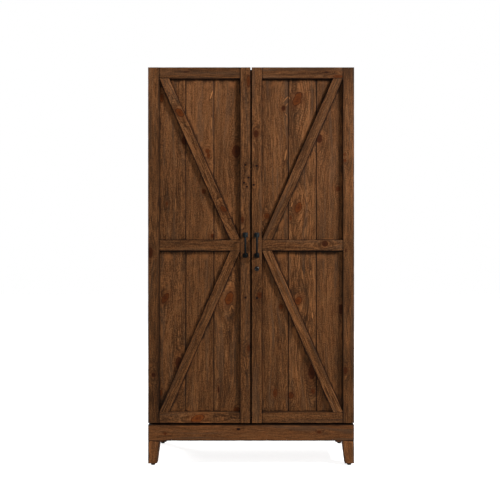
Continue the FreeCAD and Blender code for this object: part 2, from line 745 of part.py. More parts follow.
os.makedirs("parts", exist_ok=True)
for label, item in nodes.items():
    item.Shape.exportStep(f"parts/{label}.step")
print(len(nodes), "sub-parts written")
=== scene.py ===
import math

import bpy
import numpy as np
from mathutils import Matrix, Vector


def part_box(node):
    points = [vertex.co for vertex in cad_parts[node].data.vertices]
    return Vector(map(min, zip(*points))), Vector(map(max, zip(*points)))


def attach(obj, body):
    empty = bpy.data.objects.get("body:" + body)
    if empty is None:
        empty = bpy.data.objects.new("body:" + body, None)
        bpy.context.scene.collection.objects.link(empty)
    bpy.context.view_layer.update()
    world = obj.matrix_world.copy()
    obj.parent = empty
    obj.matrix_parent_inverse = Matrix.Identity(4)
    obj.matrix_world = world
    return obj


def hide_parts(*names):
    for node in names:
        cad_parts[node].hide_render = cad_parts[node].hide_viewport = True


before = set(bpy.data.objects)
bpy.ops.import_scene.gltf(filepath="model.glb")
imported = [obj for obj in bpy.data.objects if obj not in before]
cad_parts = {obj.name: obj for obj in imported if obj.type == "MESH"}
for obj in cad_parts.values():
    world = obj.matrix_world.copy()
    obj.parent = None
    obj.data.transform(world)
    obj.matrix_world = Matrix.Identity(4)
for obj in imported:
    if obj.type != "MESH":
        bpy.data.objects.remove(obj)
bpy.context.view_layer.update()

# Apron: inch-thick pine boards round the foot of the cabinet, the front and back ones from corner to
# corner. They are planed, eased by hand along every edge, stained brown, glazed and lacquered.
MM = 0.001
X, Y, Z = 0, 1, 2
FRONT, BACK, LEFT, RIGHT, UP, DOWN = (Y, -1), (Y, 1), (X, -1), (X, 1), (Z, 1), (Z, -1)
BOARD_EASE, CORNER_POINTS = 1.6 * MM, 5
FINE_STEP, COARSE_STEP, STATION_STEP = 2.6 * MM, 14 * MM, 6 * MM
SHORT_RUN, END_GRAIN, EDGE_WEAR = 6 * MM, 2.5 * MM, 0.7 * MM


def section_loop(corners, ease, shown):
    """A board's section as a closed loop, counter-clockwise.

    Each corner is a quadratic curve from one ease before it to one ease after it; the runs between are
    divided evenly, finely on the first runs, which show, and coarsely on the rest. With the points come
    their outward normals, the way along the loop from each to the nearest corner, and how much of the
    usual ease a corner's points have.
    """
    corners = np.array(corners, float)
    eases = np.broadcast_to(ease, len(corners))
    onward = np.roll(corners, -1, axis=0) - corners
    lengths = np.linalg.norm(onward, axis=1)
    onward /= lengths[:, None]
    share = np.linspace(0, 1, CORNER_POINTS)[:, None]
    points, rims, softness = [], [], []
    for number, corner in enumerate(corners):
        enter = corner - eases[number] * onward[number - 1]
        leave = corner + eases[number] * onward[number]
        points.append((1 - share) ** 2 * enter + 2 * share * (1 - share) * corner + share ** 2 * leave)
        rims.append(np.zeros(CORNER_POINTS))
        softness.append(np.full(CORNER_POINTS, eases[number] / BOARD_EASE))
        straight = lengths[number] - eases[number] - eases[(number + 1) % len(corners)]
        fewest = 1 if straight < SHORT_RUN else 2
        count = max(fewest, round(straight / (FINE_STEP if number < shown else COARSE_STEP)))
        way = np.arange(1, count)[:, None] * straight / count
        points.append(leave + way * onward[number])
        rims.append(np.minimum(way, straight - way)[:, 0])
        softness.append(np.zeros(count - 1))
    points, rims, softness = np.concatenate(points), np.concatenate(rims), np.concatenate(softness)
    tangent = np.roll(points, -1, axis=0) - np.roll(points, 1, axis=0)
    normals = np.stack([tangent[:, 1], -tangent[:, 0]], axis=1)
    return points, normals / np.linalg.norm(normals, axis=1)[:, None], rims, softness


def drift(way, seed):
    """A slow wander from -1 to 1 along a length: three sines whose periods don't fit each other."""
    waves = ((19, 1.7), (43, 2.9), (101, 0.6))
    return sum(np.sin(pace * way + turn * seed) for pace, turn in waves) / 3


def ring_faces(rings, each):
    """Faces that join rings of points one after another, then a cap on the first and the last."""
    index = np.arange(rings * each).reshape(rings, each)
    beside = np.roll(index, -1, axis=1)
    quads = np.stack([index[:-1], beside[:-1], beside[1:], index[1:]], axis=-1).reshape(-1, 4)
    return quads.tolist() + [index[0][::-1].tolist(), index[-1].tolist()]


def timber(corners, span, along, seed, ease=BOARD_EASE, shown=1, station=STATION_STEP):
    """A board: its section carried along one axis and drawn in by a quarter circle at both ends.

    The eased corners wander in by up to the wear. Rim is each point's way to the nearest corner or end,
    and the same all over the end grain.
    """
    loop, normals, rims, softness = section_loop(corners, ease, shown)
    quarter = np.linspace(0, math.pi / 2, 4)
    length, end_ease = span[1] - span[0], np.max(ease)
    count = max(1, round((length - 2 * end_ease) / station))
    ends, draw_in = end_ease * (1 - np.cos(quarter)), end_ease * (1 - np.sin(quarter))
    middle = np.linspace(end_ease, length - end_ease, count + 1)[1:-1]
    way = np.concatenate([ends, middle, (length - ends)[::-1]])
    inset = np.concatenate([draw_in, np.zeros(count - 1), draw_in[::-1]])[:, None]
    wear = EDGE_WEAR * np.clip(drift(way, seed), 0, 1)[:, None] * softness
    grid = loop - normals * (inset + wear)[..., None]
    points = np.empty(grid.shape[:2] + (3,))
    points[..., (along + 1) % 3] = grid[..., 0]
    points[..., (along + 2) % 3] = grid[..., 1]
    points[..., along] = span[0] + way[:, None]
    rim = np.minimum(rims, np.minimum(way, length - way)[:, None])
    rim[[0, -1]] = END_GRAIN
    return {"points": points.reshape(-1, 3), "faces": ring_faces(*grid.shape[:2]), "rim": rim.ravel(),
            "along": along, "seed": seed}


def flipped(board):
    """The board's twin on the other side of the cabinet's middle."""
    board["points"][:, X] *= -1
    board["faces"] = [face[::-1] for face in board["faces"]]
    return board


def rectangle(low, high, along, face):
    """Corners of a squared board's section, with the run that makes the given face first.

    A face is an axis and a sign, such as (Y, -1) for the front.
    """
    first, second = (along + 1) % 3, (along + 2) % 3
    corners = [(low[first], low[second]), (high[first], low[second]),
               (high[first], high[second]), (low[first], high[second])]
    start = [(second, -1), (first, 1), (second, 1), (first, -1)].index(face)
    return corners[start:] + corners[:start]


NO_KNOT, KNOT_SPREAD, KNOT_BEND, KNOT_RINGS = 6.0, 1.12, 0.9, 3
BEND_REACH, SWELL_REACH = (3.2, 5), (2.6, 4.6)
FLAME, FLAME_ARCHES, ARCH_POWER = 2, 3.5, 1.6
PITH_ASIDE, PITH_BEHIND, PITH_LEAN, PITH_DIVE = 0.7, (0.02, 0.07), 0.03, 0.035
RING_WIDTH_MM, RING_WANDER = (3.2, 5.6), 2.5 * MM


def figured(board, face, knots=(), tint=(1, 1, 1), sawn=1.0, bold=1.0, grey=0.5):
    """Works out the wood's figure at each point of a board.

    Grain is the place across, into and along the wood; across is pressed away from each knot by a bell
    that is longest along the grain. Ring counts growth rings: the distance to a leaning pith line behind
    the face over the ring width, and more where a knot swells the wood. Knot is the distance to the
    nearest knot's middle in knot radii, and ink how black that knot is, below 0 for a streak rubbed light.
    A knot is two places on the face, two half sizes, a lean in degrees and an ink, all lengths in
    millimetres. A FLAME takes a knot's place in the list: there the rings are nested parabolas instead,
    and its lean is their step along the board, below 0 where they open downwards. Sawn is how rough the
    saw left the board, bold how strongly its grain shows, and grey how weathered it is.
    """
    along, depth_axis = board["along"], face[0]
    across = 3 - along - depth_axis
    first, second = sorted((along, across))
    points, chance = board["points"], np.random.default_rng(board["seed"])
    bent, swelling, flames = points[:, across].copy(), np.zeros(len(points)), []
    knot, ink = np.full(len(points), NO_KNOT), np.zeros(len(points))
    for place_first, place_second, half_first, half_second, lean, black in knots:
        halves = {first: KNOT_SPREAD * half_first * MM, second: KNOT_SPREAD * half_second * MM}
        offset = {first: points[:, first] - place_first * MM, second: points[:, second] - place_second * MM}
        away = {axis: offset[axis] / halves[axis] for axis in offset}
        if black == FLAME:
            arches = FLAME_ARCHES * np.abs(away[across]) ** ARCH_POWER - offset[along] / (lean * MM)
            flames.append((np.exp(-away[across] ** 4 - away[along] ** 4), arches))
            continue
        turn = math.radians(lean)
        leaned = {first: offset[first] * math.cos(turn) - offset[second] * math.sin(turn),
                  second: offset[first] * math.sin(turn) + offset[second] * math.cos(turn)}
        distance = np.hypot(leaned[first] / halves[first], leaned[second] / halves[second])
        bells = [np.exp(-(away[across] / reach[0]) ** 2 - (away[along] / reach[1]) ** 2)
                 for reach in (BEND_REACH, SWELL_REACH)]
        if black >= 0:
            bent -= KNOT_BEND * offset[across] * bells[0]
        if 0 <= black < 1:
            swelling += KNOT_RINGS * bells[1]
        nearer = distance < knot
        knot[nearer], ink[nearer] = distance[nearer], black
    low, high = points.min(axis=0), points.max(axis=0)
    aside = chance.uniform(-PITH_ASIDE, PITH_ASIDE) * (high[across] - low[across])
    behind = face[1] * chance.uniform(*PITH_BEHIND)
    lean_across, lean_in = chance.uniform(-PITH_LEAN, PITH_LEAN), chance.uniform(-PITH_DIVE, PITH_DIVE)
    way = points[:, along] - low[along]
    surface = high[depth_axis] if face[1] > 0 else low[depth_axis]
    sideways = bent - (low[across] + high[across]) / 2 - aside - lean_across * way
    sideways += RING_WANDER * drift(way, board["seed"])
    inward = points[:, depth_axis] - surface + behind + lean_in * way
    ring = np.hypot(sideways, inward) / (chance.uniform(*RING_WIDTH_MM) * MM) + swelling
    flame = np.zeros(len(points))
    for window, arches in flames:
        ring += window * (arches + ring[np.argmax(window)] - ring)
        flame = np.maximum(flame, window)
    shift = chance.uniform(-9, 9, 3)
    board["grain"] = np.stack([bent, points[:, depth_axis], points[:, along]], axis=1) + shift
    board.update(ring=ring, flame=flame, knot=knot, ink=ink, tint=np.ones((len(points), 3)) * tint)
    for field, level in (("sawn", sawn), ("bold", bold), ("grey", grey)):
        board[field] = np.full(len(points), level)
    return board


def lacquer(red, green, blue):
    """A colour seen as 0 to 255 in each channel, as the light it sends back."""
    seen = np.array([red, green, blue]) / 255
    return (*np.where(seen <= 0.04045, seen / 12.92, ((seen + 0.055) / 1.055) ** 2.4), 1)


def shader_node(tree, kind, **settings):
    item = tree.nodes.new("ShaderNode" + kind)
    for name, setting in settings.items():
        setattr(item, name, setting)
    return item


def feed(item, inputs):
    """Sets a shader node's inputs, each to a value or by a link from another node's output."""
    for socket, entry in inputs.items():
        if isinstance(entry, bpy.types.NodeSocket):
            item.id_data.links.new(entry, item.inputs[socket])
        else:
            item.inputs[socket].default_value = entry
    return item


def fed(kind, inputs, **settings):
    """Adds a shader node to the tree of the outputs that feed it."""
    tree = next(entry.id_data for entry in inputs.values() if isinstance(entry, bpy.types.NodeSocket))
    return feed(shader_node(tree, kind, **settings), inputs)


def worked(operation, first, second=0.0, third=0.0):
    return fed("Math", {0: first, 1: second, 2: third}, operation=operation).outputs[0]


def scaled(source, factor, offset=0.0):
    return worked("MULTIPLY_ADD", source, factor, offset)


def swing(noise):
    """Noise counted from its middle."""
    return worked("SUBTRACT", noise, 0.5)


def eased(source, start, stop, low=0.0, high=1.0):
    """A smooth step from low to high while the source goes from start to stop."""
    return fed("MapRange", {0: source, 1: start, 2: stop, 3: low, 4: high},
               interpolation_type="SMOOTHSTEP").outputs[0]


def blended(amount, under, over, mode="MIX"):
    return fed("Mix", {0: amount, 6: under, 7: over}, data_type="RGBA", blend_type=mode).outputs[2]


def cloudy(place, stretch, detail, rough=0.55):
    """Noise over a place that is first stretched differently along each axis."""
    spread = fed("VectorMath", {0: place, 1: stretch}, operation="MULTIPLY").outputs[0]
    return fed("TexNoise", {"Vector": spread, "Scale": 1.0, "Detail": detail, "Roughness": rough}).outputs[0]


def graded(source, stops):
    """A colour ramp: pairs of place and colour."""
    item = fed("ValToRGB", {0: source})
    while len(item.color_ramp.elements) < len(stops):
        item.color_ramp.elements.new(0.5)
    for element, (place, shade) in zip(item.color_ramp.elements, stops):
        element.position, element.color = place, shade
    return item.outputs[0]


def bumped(height, strength, distance):
    return fed("Bump", {"Strength": strength, "Distance": distance, "Height": height}).outputs[0]


def new_material(name):
    """A new material, its tree, its shader and the place on the object as the tree reads it."""
    material = bpy.data.materials.new(name)
    material.use_nodes = True
    tree = material.node_tree
    place = shader_node(tree, "TexCoord").outputs["Object"]
    return material, tree, tree.nodes["Principled BSDF"], place


FIGURE = ("grain", "tint", "ring", "flame", "knot", "ink", "rim", "sawn", "bold", "grey")


def stained_pine():
    """Knotty pine under a brown stain: fibres, streaks and growth rings bent round knots, with dark glaze in
    the joints, broadened on the door planks into painted shade in the recess corners and under the rails,
    and the stain rubbed thin beside the joints."""
    material, tree, shader, _ = new_material("stained_pine")
    held = {field: shader_node(tree, "Attribute", attribute_name=field).outputs for field in FIGURE}
    grain, tint = held["grain"]["Vector"], held["tint"]["Color"]
    ring, flame, knot, ink, rim, sawn, bold, grey = (held[field]["Fac"] for field in FIGURE[2:])
    hair = cloudy(grain, (460, 460, 26), 1)
    fibre = cloudy(grain, (205, 205, 17), 3)
    streak = cloudy(grain, (88, 88, 4.6), 2)
    cloud = cloudy(grain, (18, 18, 3.0), 1)
    speckle = cloudy(grain, (270, 270, 190), 1)
    warmth = cloudy(grain, (120, 120, 22), 2)
    ash = cloudy(grain, (44, 60, 2.4), 2)
    plainness = eased(cloudy(grain, (11, 11, 3.6), 1), 0.38, 0.62, 0.24, 0.60)
    late = worked("POWER", worked("FRACT", scaled(streak, 0.9, ring)), 2.0)
    ring_depth = scaled(flame, -0.22, eased(knot, 1.0, 4.5, -0.19, -0.09))
    depth = scaled(swing(fibre), plainness)
    for layer, weight in ((hair, 0.42), (streak, 0.30), (cloud, 0.32)):
        depth = scaled(swing(layer), weight, depth)
    depth = scaled(scaled(late, ring_depth, depth), bold, 0.545)
    depth = scaled(swing(speckle), scaled(sawn, 0.54), depth)
    wood = graded(depth, [(0.25, lacquer(51, 31, 17)), (0.42, lacquer(77, 48, 26)),
                          (0.50, lacquer(94, 59, 34)), (0.60, lacquer(117, 75, 44)),
                          (0.75, lacquer(146, 96, 58))])
    cool_to_warm = graded(warmth, [(0.32, (0.90, 0.96, 1.0, 1)), (0.68, (1.0, 0.95, 0.87, 1))])
    wood = blended(1.0, wood, cool_to_warm, "MULTIPLY")
    wood = blended(scaled(eased(ash, 0.50, 0.66), grey), wood, lacquer(76, 59, 45))

    ragged = scaled(cloudy(grain, (130, 130, 70), 2), 0.6, worked("ADD", knot, -0.52))
    ragged = scaled(cloudy(grain, (42, 42, 26), 1), 0.44, ragged)
    streaked = eased(ink, -0.05, -0.2)
    beside = blended(streaked, lacquer(92, 52, 26), lacquer(50, 30, 17))
    wood = blended(eased(ragged, 1.0, 2.4, 0.40, 0), wood, beside)
    whorl = worked("SINE", scaled(ragged, 15.0))
    mottle = cloudy(grain, (260, 260, 170), 2)
    heart = graded(scaled(whorl, 0.08, ragged), [(0.0, lacquer(48, 20, 7)), (0.25, lacquer(82, 39, 13)),
                                                 (0.78, lacquer(96, 49, 18)), (1.0, lacquer(48, 22, 9))])
    heart = blended(eased(mottle, 0.50, 0.66, 0, 0.55), heart, lacquer(55, 26, 10))
    heart = blended(eased(ink, 0, 0.6, 0, 0.75), heart, lacquer(42, 17, 6))
    heart = blended(eased(ink, 0.6, 1), heart, lacquer(15, 10, 8))
    heart = blended(streaked, heart, lacquer(150, 98, 57))
    cover = worked("MAXIMUM", worked("GREATER_THAN", ink, -0.02), scaled(ink, -1.0))
    wood = blended(scaled(eased(ragged, 0.90, 1.08, 1, 0), cover), wood, heart)

    patch = cloudy(grain, (18, 18, 11), 2)
    near_edge = scaled(eased(rim, 1.5 * MM, 3.5 * MM), eased(rim, 4.5 * MM, 11 * MM, 1, 0))
    rubbed = scaled(scaled(eased(patch, 0.48, 0.66, 0, 0.6), near_edge), eased(ragged, 1.0, 1.4))
    wood = blended(rubbed, wood, lacquer(136, 86, 49))
    # Dark glaze along the rim: on the door planks the rim is cut short beside the frame, so there this line
    # is also painted shade in the recess corners and under the rails.
    reach = eased(cloudy(grain, (30, 30, 15), 2), 0.36, 0.66, 1.0, 0.3)
    joint_glaze_and_shade = eased(scaled(rim, reach), 0.2 * MM, 1.9 * MM, 0.86, 0)
    wood = blended(joint_glaze_and_shade, wood, lacquer(26, 16, 11))
    feed(shader, {"Base Color": blended(1.0, wood, tint, "MULTIPLY"), "Roughness": scaled(fibre, 0.25, 0.5),
                  "Specular IOR Level": 0.06, "Normal": bumped(scaled(late, 0.5, hair), 0.3, 0.5 * MM)})
    return material


PINE = stained_pine()


def set_on(name, mesh, body, nodes, material):
    """Makes a mesh a piece of its body, in the place of the CAD nodes that it dresses."""
    mesh.materials.append(material)
    piece = bpy.data.objects.new(name, mesh)
    bpy.context.scene.collection.objects.link(piece)
    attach(piece, body)
    if nodes:
        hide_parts(*nodes)


def wooden(name, body, nodes, boards):
    """Joins boards into one piece and puts the wood's figure on its points."""
    starts = np.cumsum([0] + [len(board["points"]) for board in boards])
    faces = [[corner + start for corner in face] for board, start in zip(boards, starts.tolist())
             for face in board["faces"]]
    mesh = bpy.data.meshes.new(name)
    mesh.from_pydata(np.concatenate([board["points"] for board in boards]).tolist(), [], faces)
    for field in FIGURE:
        values = np.concatenate([board[field] for board in boards]).astype(np.float32)
        kind, entry = ("FLOAT_VECTOR", "vector") if values.ndim == 2 else ("FLOAT", "value")
        mesh.attributes.new(field, kind, "POINT").data.foreach_set(entry, values.ravel())
    set_on(name, mesh, body, nodes, PINE)


def extent(node):
    low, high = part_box(node)
    return np.array(low), np.array(high)


def squared(low, high, along, face, seed, knots=(), tint=(1, 1, 1), sawn=1.0, bold=1.0, **how):
    """A plain rectangular board between two corners, with its figure."""
    board = timber(rectangle(low, high, along, face), (low[along], high[along]), along, seed, **how)
    return figured(board, face, knots, tint, sawn, bold)


APRON_EASES = np.array([1.6, 1.6, 0.4, 0.4]) * MM
TOP_SKIN, FRONT_SKIN, GAP_SHADE = 0.3 * MM, 1 * MM, 0.15
apron_low, apron_high = extent("base_front_rail")
apron_knots = [(-59, 171, 8, 4.5, 0, 1), (318, 158, 9, 6, 0, 0.3), (-402, 150, 6, 5, 0, 0.2)]
apron = squared(apron_low, apron_high, X, FRONT, 3, apron_knots, (1.02, 0.98, 0.92), 0.45, 0.8,
                ease=APRON_EASES)
apron_x, apron_y, apron_z = apron["points"].T
# Painted shade: the apron's top, seen through the gap under the doors, is darkened to near black.
apron["tint"][(apron_z > apron_high[Z] - TOP_SKIN) & (apron_y > apron_low[Y] + FRONT_SKIN)] *= GAP_SHADE
apron["tint"] *= np.interp(apron_x, (apron_low[X], 0, apron_high[X]), (1.16, 0.98, 0.94))[:, None]
wooden("apron_front", "cabinet", ["base_front_rail"], [apron])
wooden("apron_back", "cabinet", ["base_back_rail"],
       [squared(*extent("base_back_rail"), X, BACK, 5, [(140, 149, 12, 9, 0, 0.2)])])
apron_side_low, apron_side_high = extent("base_side_rails")
apron_thickness = apron_high[Y] - apron_low[Y]
left_apron_high = np.array([apron_side_low[X] + apron_thickness, *apron_side_high[1:]])
right_apron_low = apron_side_low * (-1, 1, 1) + (-apron_thickness, 0, 0)
wooden("apron_sides", "cabinet", ["base_side_rails"],
       [squared(apron_side_low, left_apron_high, Y, LEFT, 7, [(60, 156, 9, 8, 0, 0.2)]),
        squared(right_apron_low, apron_side_high, Y, RIGHT, 9, [(-90, 146, 10, 9, 0, 0.3)])])

# Corner blocks: square offcuts of pine glued into the four corners of the apron, out of sight, where
# the leg bolts go in.
BLOCK_SIZE = 62 * MM
block_low, block_high = extent("corner_blocks")
block = np.array([BLOCK_SIZE, BLOCK_SIZE, block_high[Z] - block_low[Z]])
blocks = []
for seed, (back, right) in enumerate(np.ndindex(2, 2), start=11):
    low = block_low + (block_high - block_low - block) * (right, back, 0)
    blocks.append(squared(low, low + block, Z, FRONT, seed))
wooden("apron_corner_blocks", "cabinet", ["corner_blocks"], blocks)

# Legs: square pine posts bolted up into the corner blocks; their two inner faces are planed to a taper
# while the outer two stay upright and flush with the apron.
LEG_FOOT, LEG_EASE = 43 * MM, 2.2 * MM
leg_tints = {"front_left": (1.28, 1.24, 1.22), "front_right": (1.28, 1.22, 1.16), "back_left": (1, 1, 1),
             "back_right": (0.96, 0.96, 0.96)}
for seed, (corner, tint) in enumerate(leg_tints.items(), start=17):
    low, high = extent(corner + "_leg")
    leg = squared(low, high, Z, FRONT if "front" in corner else BACK, seed, (), tint, ease=LEG_EASE)
    outer = np.array([low[X] if "left" in corner else high[X], low[Y] if "front" in corner else high[Y]])
    taper = (1 - LEG_FOOT / (high[X] - low[X])) * (high[Z] - leg["points"][:, Z]) / (high[Z] - low[Z])
    leg["points"][:, :2] = outer + (leg["points"][:, :2] - outer) * (1 - taper[:, None])
    wooden(corner + "_tapered_leg", "cabinet", [corner + "_leg"], [leg])


# Levellers: black nylon glides moulded round threaded studs, which screw up into the feet of the legs
# so that the cabinet can be set level.
def turned(name, profile, centre, axis, body, nodes, material, segments=40):
    """A turned piece: pairs of way along the axis and radius, carried round the axis."""
    profile = np.array(profile) * MM
    around = np.linspace(0, 2 * math.pi, segments, endpoint=False)
    points = np.empty((len(profile), segments, 3))
    points[..., axis] = centre[axis] + profile[:, :1]
    points[..., (axis + 1) % 3] = centre[(axis + 1) % 3] + profile[:, 1:] * np.cos(around)
    points[..., (axis + 2) % 3] = centre[(axis + 2) % 3] + profile[:, 1:] * np.sin(around)
    closed_rings(name, points, body, nodes, material)


def closed_rings(name, rings, body, nodes, material):
    """A piece made of rings of points one after another, with a cap on the first and the last."""
    faces = ring_faces(*rings.shape[:2])
    mesh = bpy.data.meshes.new(name)
    mesh.from_pydata(rings.reshape(-1, 3).tolist(), [], faces)
    mesh.polygons.foreach_set("use_smooth", [True] * (len(faces) - 2) + [False, False])
    mesh.set_sharp_from_angle(angle=math.radians(24))
    set_on(name, mesh, body, nodes, material)


def moulded_nylon():
    """Black nylon with a fine moulded grain and scuffs that dull it."""
    material, _, shader, place = new_material("moulded_nylon")
    scuffs = cloudy(place, (300, 300, 900), 3)
    feed(shader, {"Base Color": graded(scuffs, [(0.35, lacquer(6, 6, 7)), (0.7, lacquer(17, 16, 15))]),
                  "Specular IOR Level": 0.05, "Roughness": scaled(scuffs, 0.4, 0.3),
                  "Normal": bumped(cloudy(place, (2500,) * 3, 2), 0.2, 0.2 * MM)})
    return material


NYLON = moulded_nylon()
GLIDE_PROFILE = [(0, 8.6), (0.3, 9.3), (1.0, 9.7), (4.0, 10.4), (7.6, 11.6), (8.8, 12.0), (9.6, 11.9),
                 (10, 11.4), (10, 4.0), (38, 4.0)]
for corner in leg_tints:
    low, high = extent(corner + "_leveller")
    turned(corner + "_glide", GLIDE_PROFILE, (low + high) / 2 * (1, 1, 0), Z, corner + "_leveller",
           [corner + "_leveller"], NYLON)

# Sides: three V-jointed pine planks each, as tall as the case, rebated for the back board and bevelled
# in front so that the hinge barrels lie within the outline.
HINGE_BEVEL, SIDE_GROOVE, BACK_LAP, SIDE_EASE = 7.9 * MM, 2.5 * MM, 10 * MM, 0.8 * MM
side_knots = {
    "left": [(-120, 1560, 12, 19, 10, 0.3), (-80, 820, 9, 14, 0, 0.2), (20, 1240, 13, 22, -8, 0.4),
             (55, 520, 8, 9, 0, 0.2), (170, 1690, 10, 16, 0, 0.3), (205, 960, 12, 17, 12, 0.2),
             (140, 380, 9, 12, 0, 0.4)],
    "right": [(-130, 1380, 13, 20, -10, 0.3), (-70, 600, 10, 15, 0, 0.2), (40, 1660, 9, 13, 0, 0.3),
              (10, 930, 12, 20, 8, 0.4), (190, 1450, 11, 18, 0, 0.2), (150, 700, 8, 10, 0, 0.3),
              (215, 330, 12, 15, 0, 0.2)],
}
back_front = extent("back_panel")[0][Y]
for seed, side in enumerate(("left", "right"), start=23):
    low, high = extent(side + "_side")
    outer = -max(abs(low[X]), abs(high[X]))
    inner = -min(abs(low[X]), abs(high[X]))
    plank = (high[Y] - low[Y]) / 3
    corners = [(outer, high[Y])]
    for seam in (high[Y] - plank, low[Y] + plank):
        corners += [(outer, seam + SIDE_GROOVE), (outer + SIDE_GROOVE, seam), (outer, seam - SIDE_GROOVE)]
    corners += [(outer, low[Y] + HINGE_BEVEL), (outer + HINGE_BEVEL, low[Y]), (inner, low[Y]),
                (inner, back_front), (inner - BACK_LAP, back_front), (inner - BACK_LAP, high[Y])]
    board = timber(corners, (low[Z], high[Z]), Z, seed, ease=SIDE_EASE, shown=8, station=10 * MM)
    face = LEFT
    if side == "right":
        board, face = flipped(board), RIGHT
    wooden(f"{side}_planked_side", "cabinet", [side + "_side"], [figured(board, face, side_knots[side])])

# Shelf-pin holes: bored in two columns into each side, so the loose shelf can be moved up and down; each is
# drawn as a thin, nearly black disc on the side's wall, its dark partly stain soaked into the end grain and
# partly painted shade for the hole's depth. The shelf's own pins fill the middle row.
PIN_PITCH, PIN_ROWS, BORE_RADIUS, BORE_LIP = 32 * MM, 5, 2.55 * MM, 0.1 * MM


def end_grain_and_hole_shade():
    """Nearly black with torn fibres: stain soaked into end grain, and painted shade for the depth of a bored
    hole.
    """
    material, _, shader, place = new_material("end_grain_and_hole_shade")
    torn = cloudy(place, (1500,) * 3, 2)
    feed(shader, {"Base Color": graded(torn, [(0.35, lacquer(9, 6, 4)), (0.7, lacquer(24, 15, 9))]),
                  "Roughness": 0.9, "Specular IOR Level": 0.02})
    return material


HOLE_SHADE_AND_END_GRAIN = end_grain_and_hole_shade()
pin_low, pin_high = extent("shelf_pins")
pin_radius = (pin_high[Z] - pin_low[Z]) / 2
around = np.linspace(0, 2 * math.pi, 24, endpoint=False)
mouth_radius = BORE_RADIUS * np.array([[1.0], [0.96]])
for side, hand in (("left", -1), ("right", 1)):
    wall = hand * min(abs(corner[X]) for corner in extent(side + "_side"))
    proud = np.broadcast_to(wall - hand * BORE_LIP * np.array([[0.0], [1.0]]), (2, len(around)))
    for column, pin_y in (("front", pin_low[Y] + pin_radius), ("back", pin_high[Y] - pin_radius)):
        for row in (0, 1, 3, 4):
            level = (pin_low[Z] + pin_high[Z]) / 2 + (row - (PIN_ROWS - 1) / 2) * PIN_PITCH
            mouth = np.stack([proud, pin_y - hand * mouth_radius * np.cos(around),
                              level + mouth_radius * np.sin(around)], axis=-1)
            closed_rings(f"{side}_{column}_pin_hole_{row}", mouth, "cabinet", [],
                         HOLE_SHADE_AND_END_GRAIN)

# Bottom, shelves and partition: edge-glued pine boards housed between the sides; the top one that
# carries the stemware rails lies loose on four pins.
BOTTOM_EASE, BOTTOM_EDGE_SHADE, SHELF_STATION = 0.4 * MM, 0.06, 12 * MM
bottom_low, bottom_high = extent("bottom_panel")
bottom = squared(bottom_low, bottom_high, X, UP, 31, [(150, -40, 14, 10, 0, 0.3)], ease=BOTTOM_EASE,
                 station=SHELF_STATION)
# Painted shade: the bottom's front edge, seen through the gap under the doors, is made nearly black.
bottom["tint"][bottom["points"][:, Y] < bottom_low[Y] + FRONT_SKIN] = BOTTOM_EDGE_SHADE
wooden("case_bottom", "cabinet", ["bottom_panel"], [bottom])
shelf_knots = {"serving_shelf": [(-210, 20, 16, 10, 0, 0.2), (280, 130, 12, 8, 0, 0.3)],
               "bin_shelf": [(120, 60, 15, 9, 0, 0.3)], "adjustable_shelf": [(-90, -30, 13, 9, 0, 0.2)]}
for seed, (node, knots) in enumerate(shelf_knots.items(), start=33):
    shelf = squared(*extent(node), X, UP, seed, knots, station=SHELF_STATION)
    wooden(node + "_board", "cabinet", [node], [shelf])
wooden("bin_partition_board", "cabinet", ["bin_partition"],
       [squared(*extent("bin_partition"), Z, LEFT, 37, [(60, 470, 9, 14, 0, 0.2)], station=SHELF_STATION)])

# Top: a pine panel laid over the sides a little below the tops of the doors, its two front corners cut
# off beside the hinges. A square mortise chiselled in its underside takes the left door's slide bolt.
MORTISE_HALF, MORTISE_DEPTH = 5 * MM, 16 * MM
top_low, top_high = extent("top_panel")
top_knots = [(-250, 60, 17, 11, 0, 0.2), (190, -80, 14, 9, 0, 0.4), (330, 150, 11, 8, 0, 0.2)]
top = squared(top_low, top_high, X, UP, 39, top_knots, station=8 * MM)
corner_cut = top_low[Y] + HINGE_BEVEL - (top_high[X] - np.abs(top["points"][:, X]))
top["points"][:, Y] = np.maximum(top["points"][:, Y], corner_cut)


def mortised(board, mouth):
    """Cuts a square mortise up into a board: the underside's face nearest the mouth takes the mouth's
    four corners, and is then pushed up by the depth, leaving four walls."""
    faces = np.array(board["faces"][:-2])
    middles = board["points"][faces].mean(axis=1)
    nearest = np.argmin(np.linalg.norm(middles - mouth, axis=1))
    corners, count = faces[nearest], len(board["points"])
    outward = np.sign(board["points"][corners] - middles[nearest]) * (1, 1, 0)
    board["points"][corners] = mouth + MORTISE_HALF * outward
    board["rim"][corners] = 0
    for field in ("points", *FIGURE):
        board[field] = np.concatenate([board[field], board[field][corners]])
    board["points"][count:, Z] += MORTISE_DEPTH
    raised = np.arange(count, count + 4)
    walls = np.stack([corners, np.roll(corners, -1), np.roll(raised, -1), raised], axis=1)
    kept = np.delete(faces, nearest, axis=0)
    board["faces"] = kept.tolist() + walls.tolist() + [raised.tolist()] + board["faces"][-2:]
    return board


bolt_low, bolt_high = extent("slide_bolt")
bolt_radius = (bolt_high[X] - bolt_low[X]) / 2
bolt_mouth = np.array([bolt_low[X] + bolt_radius, bolt_low[Y] + bolt_radius, top_low[Z]])
wooden("case_top", "cabinet", ["top_panel"], [mortised(top, bolt_mouth)])


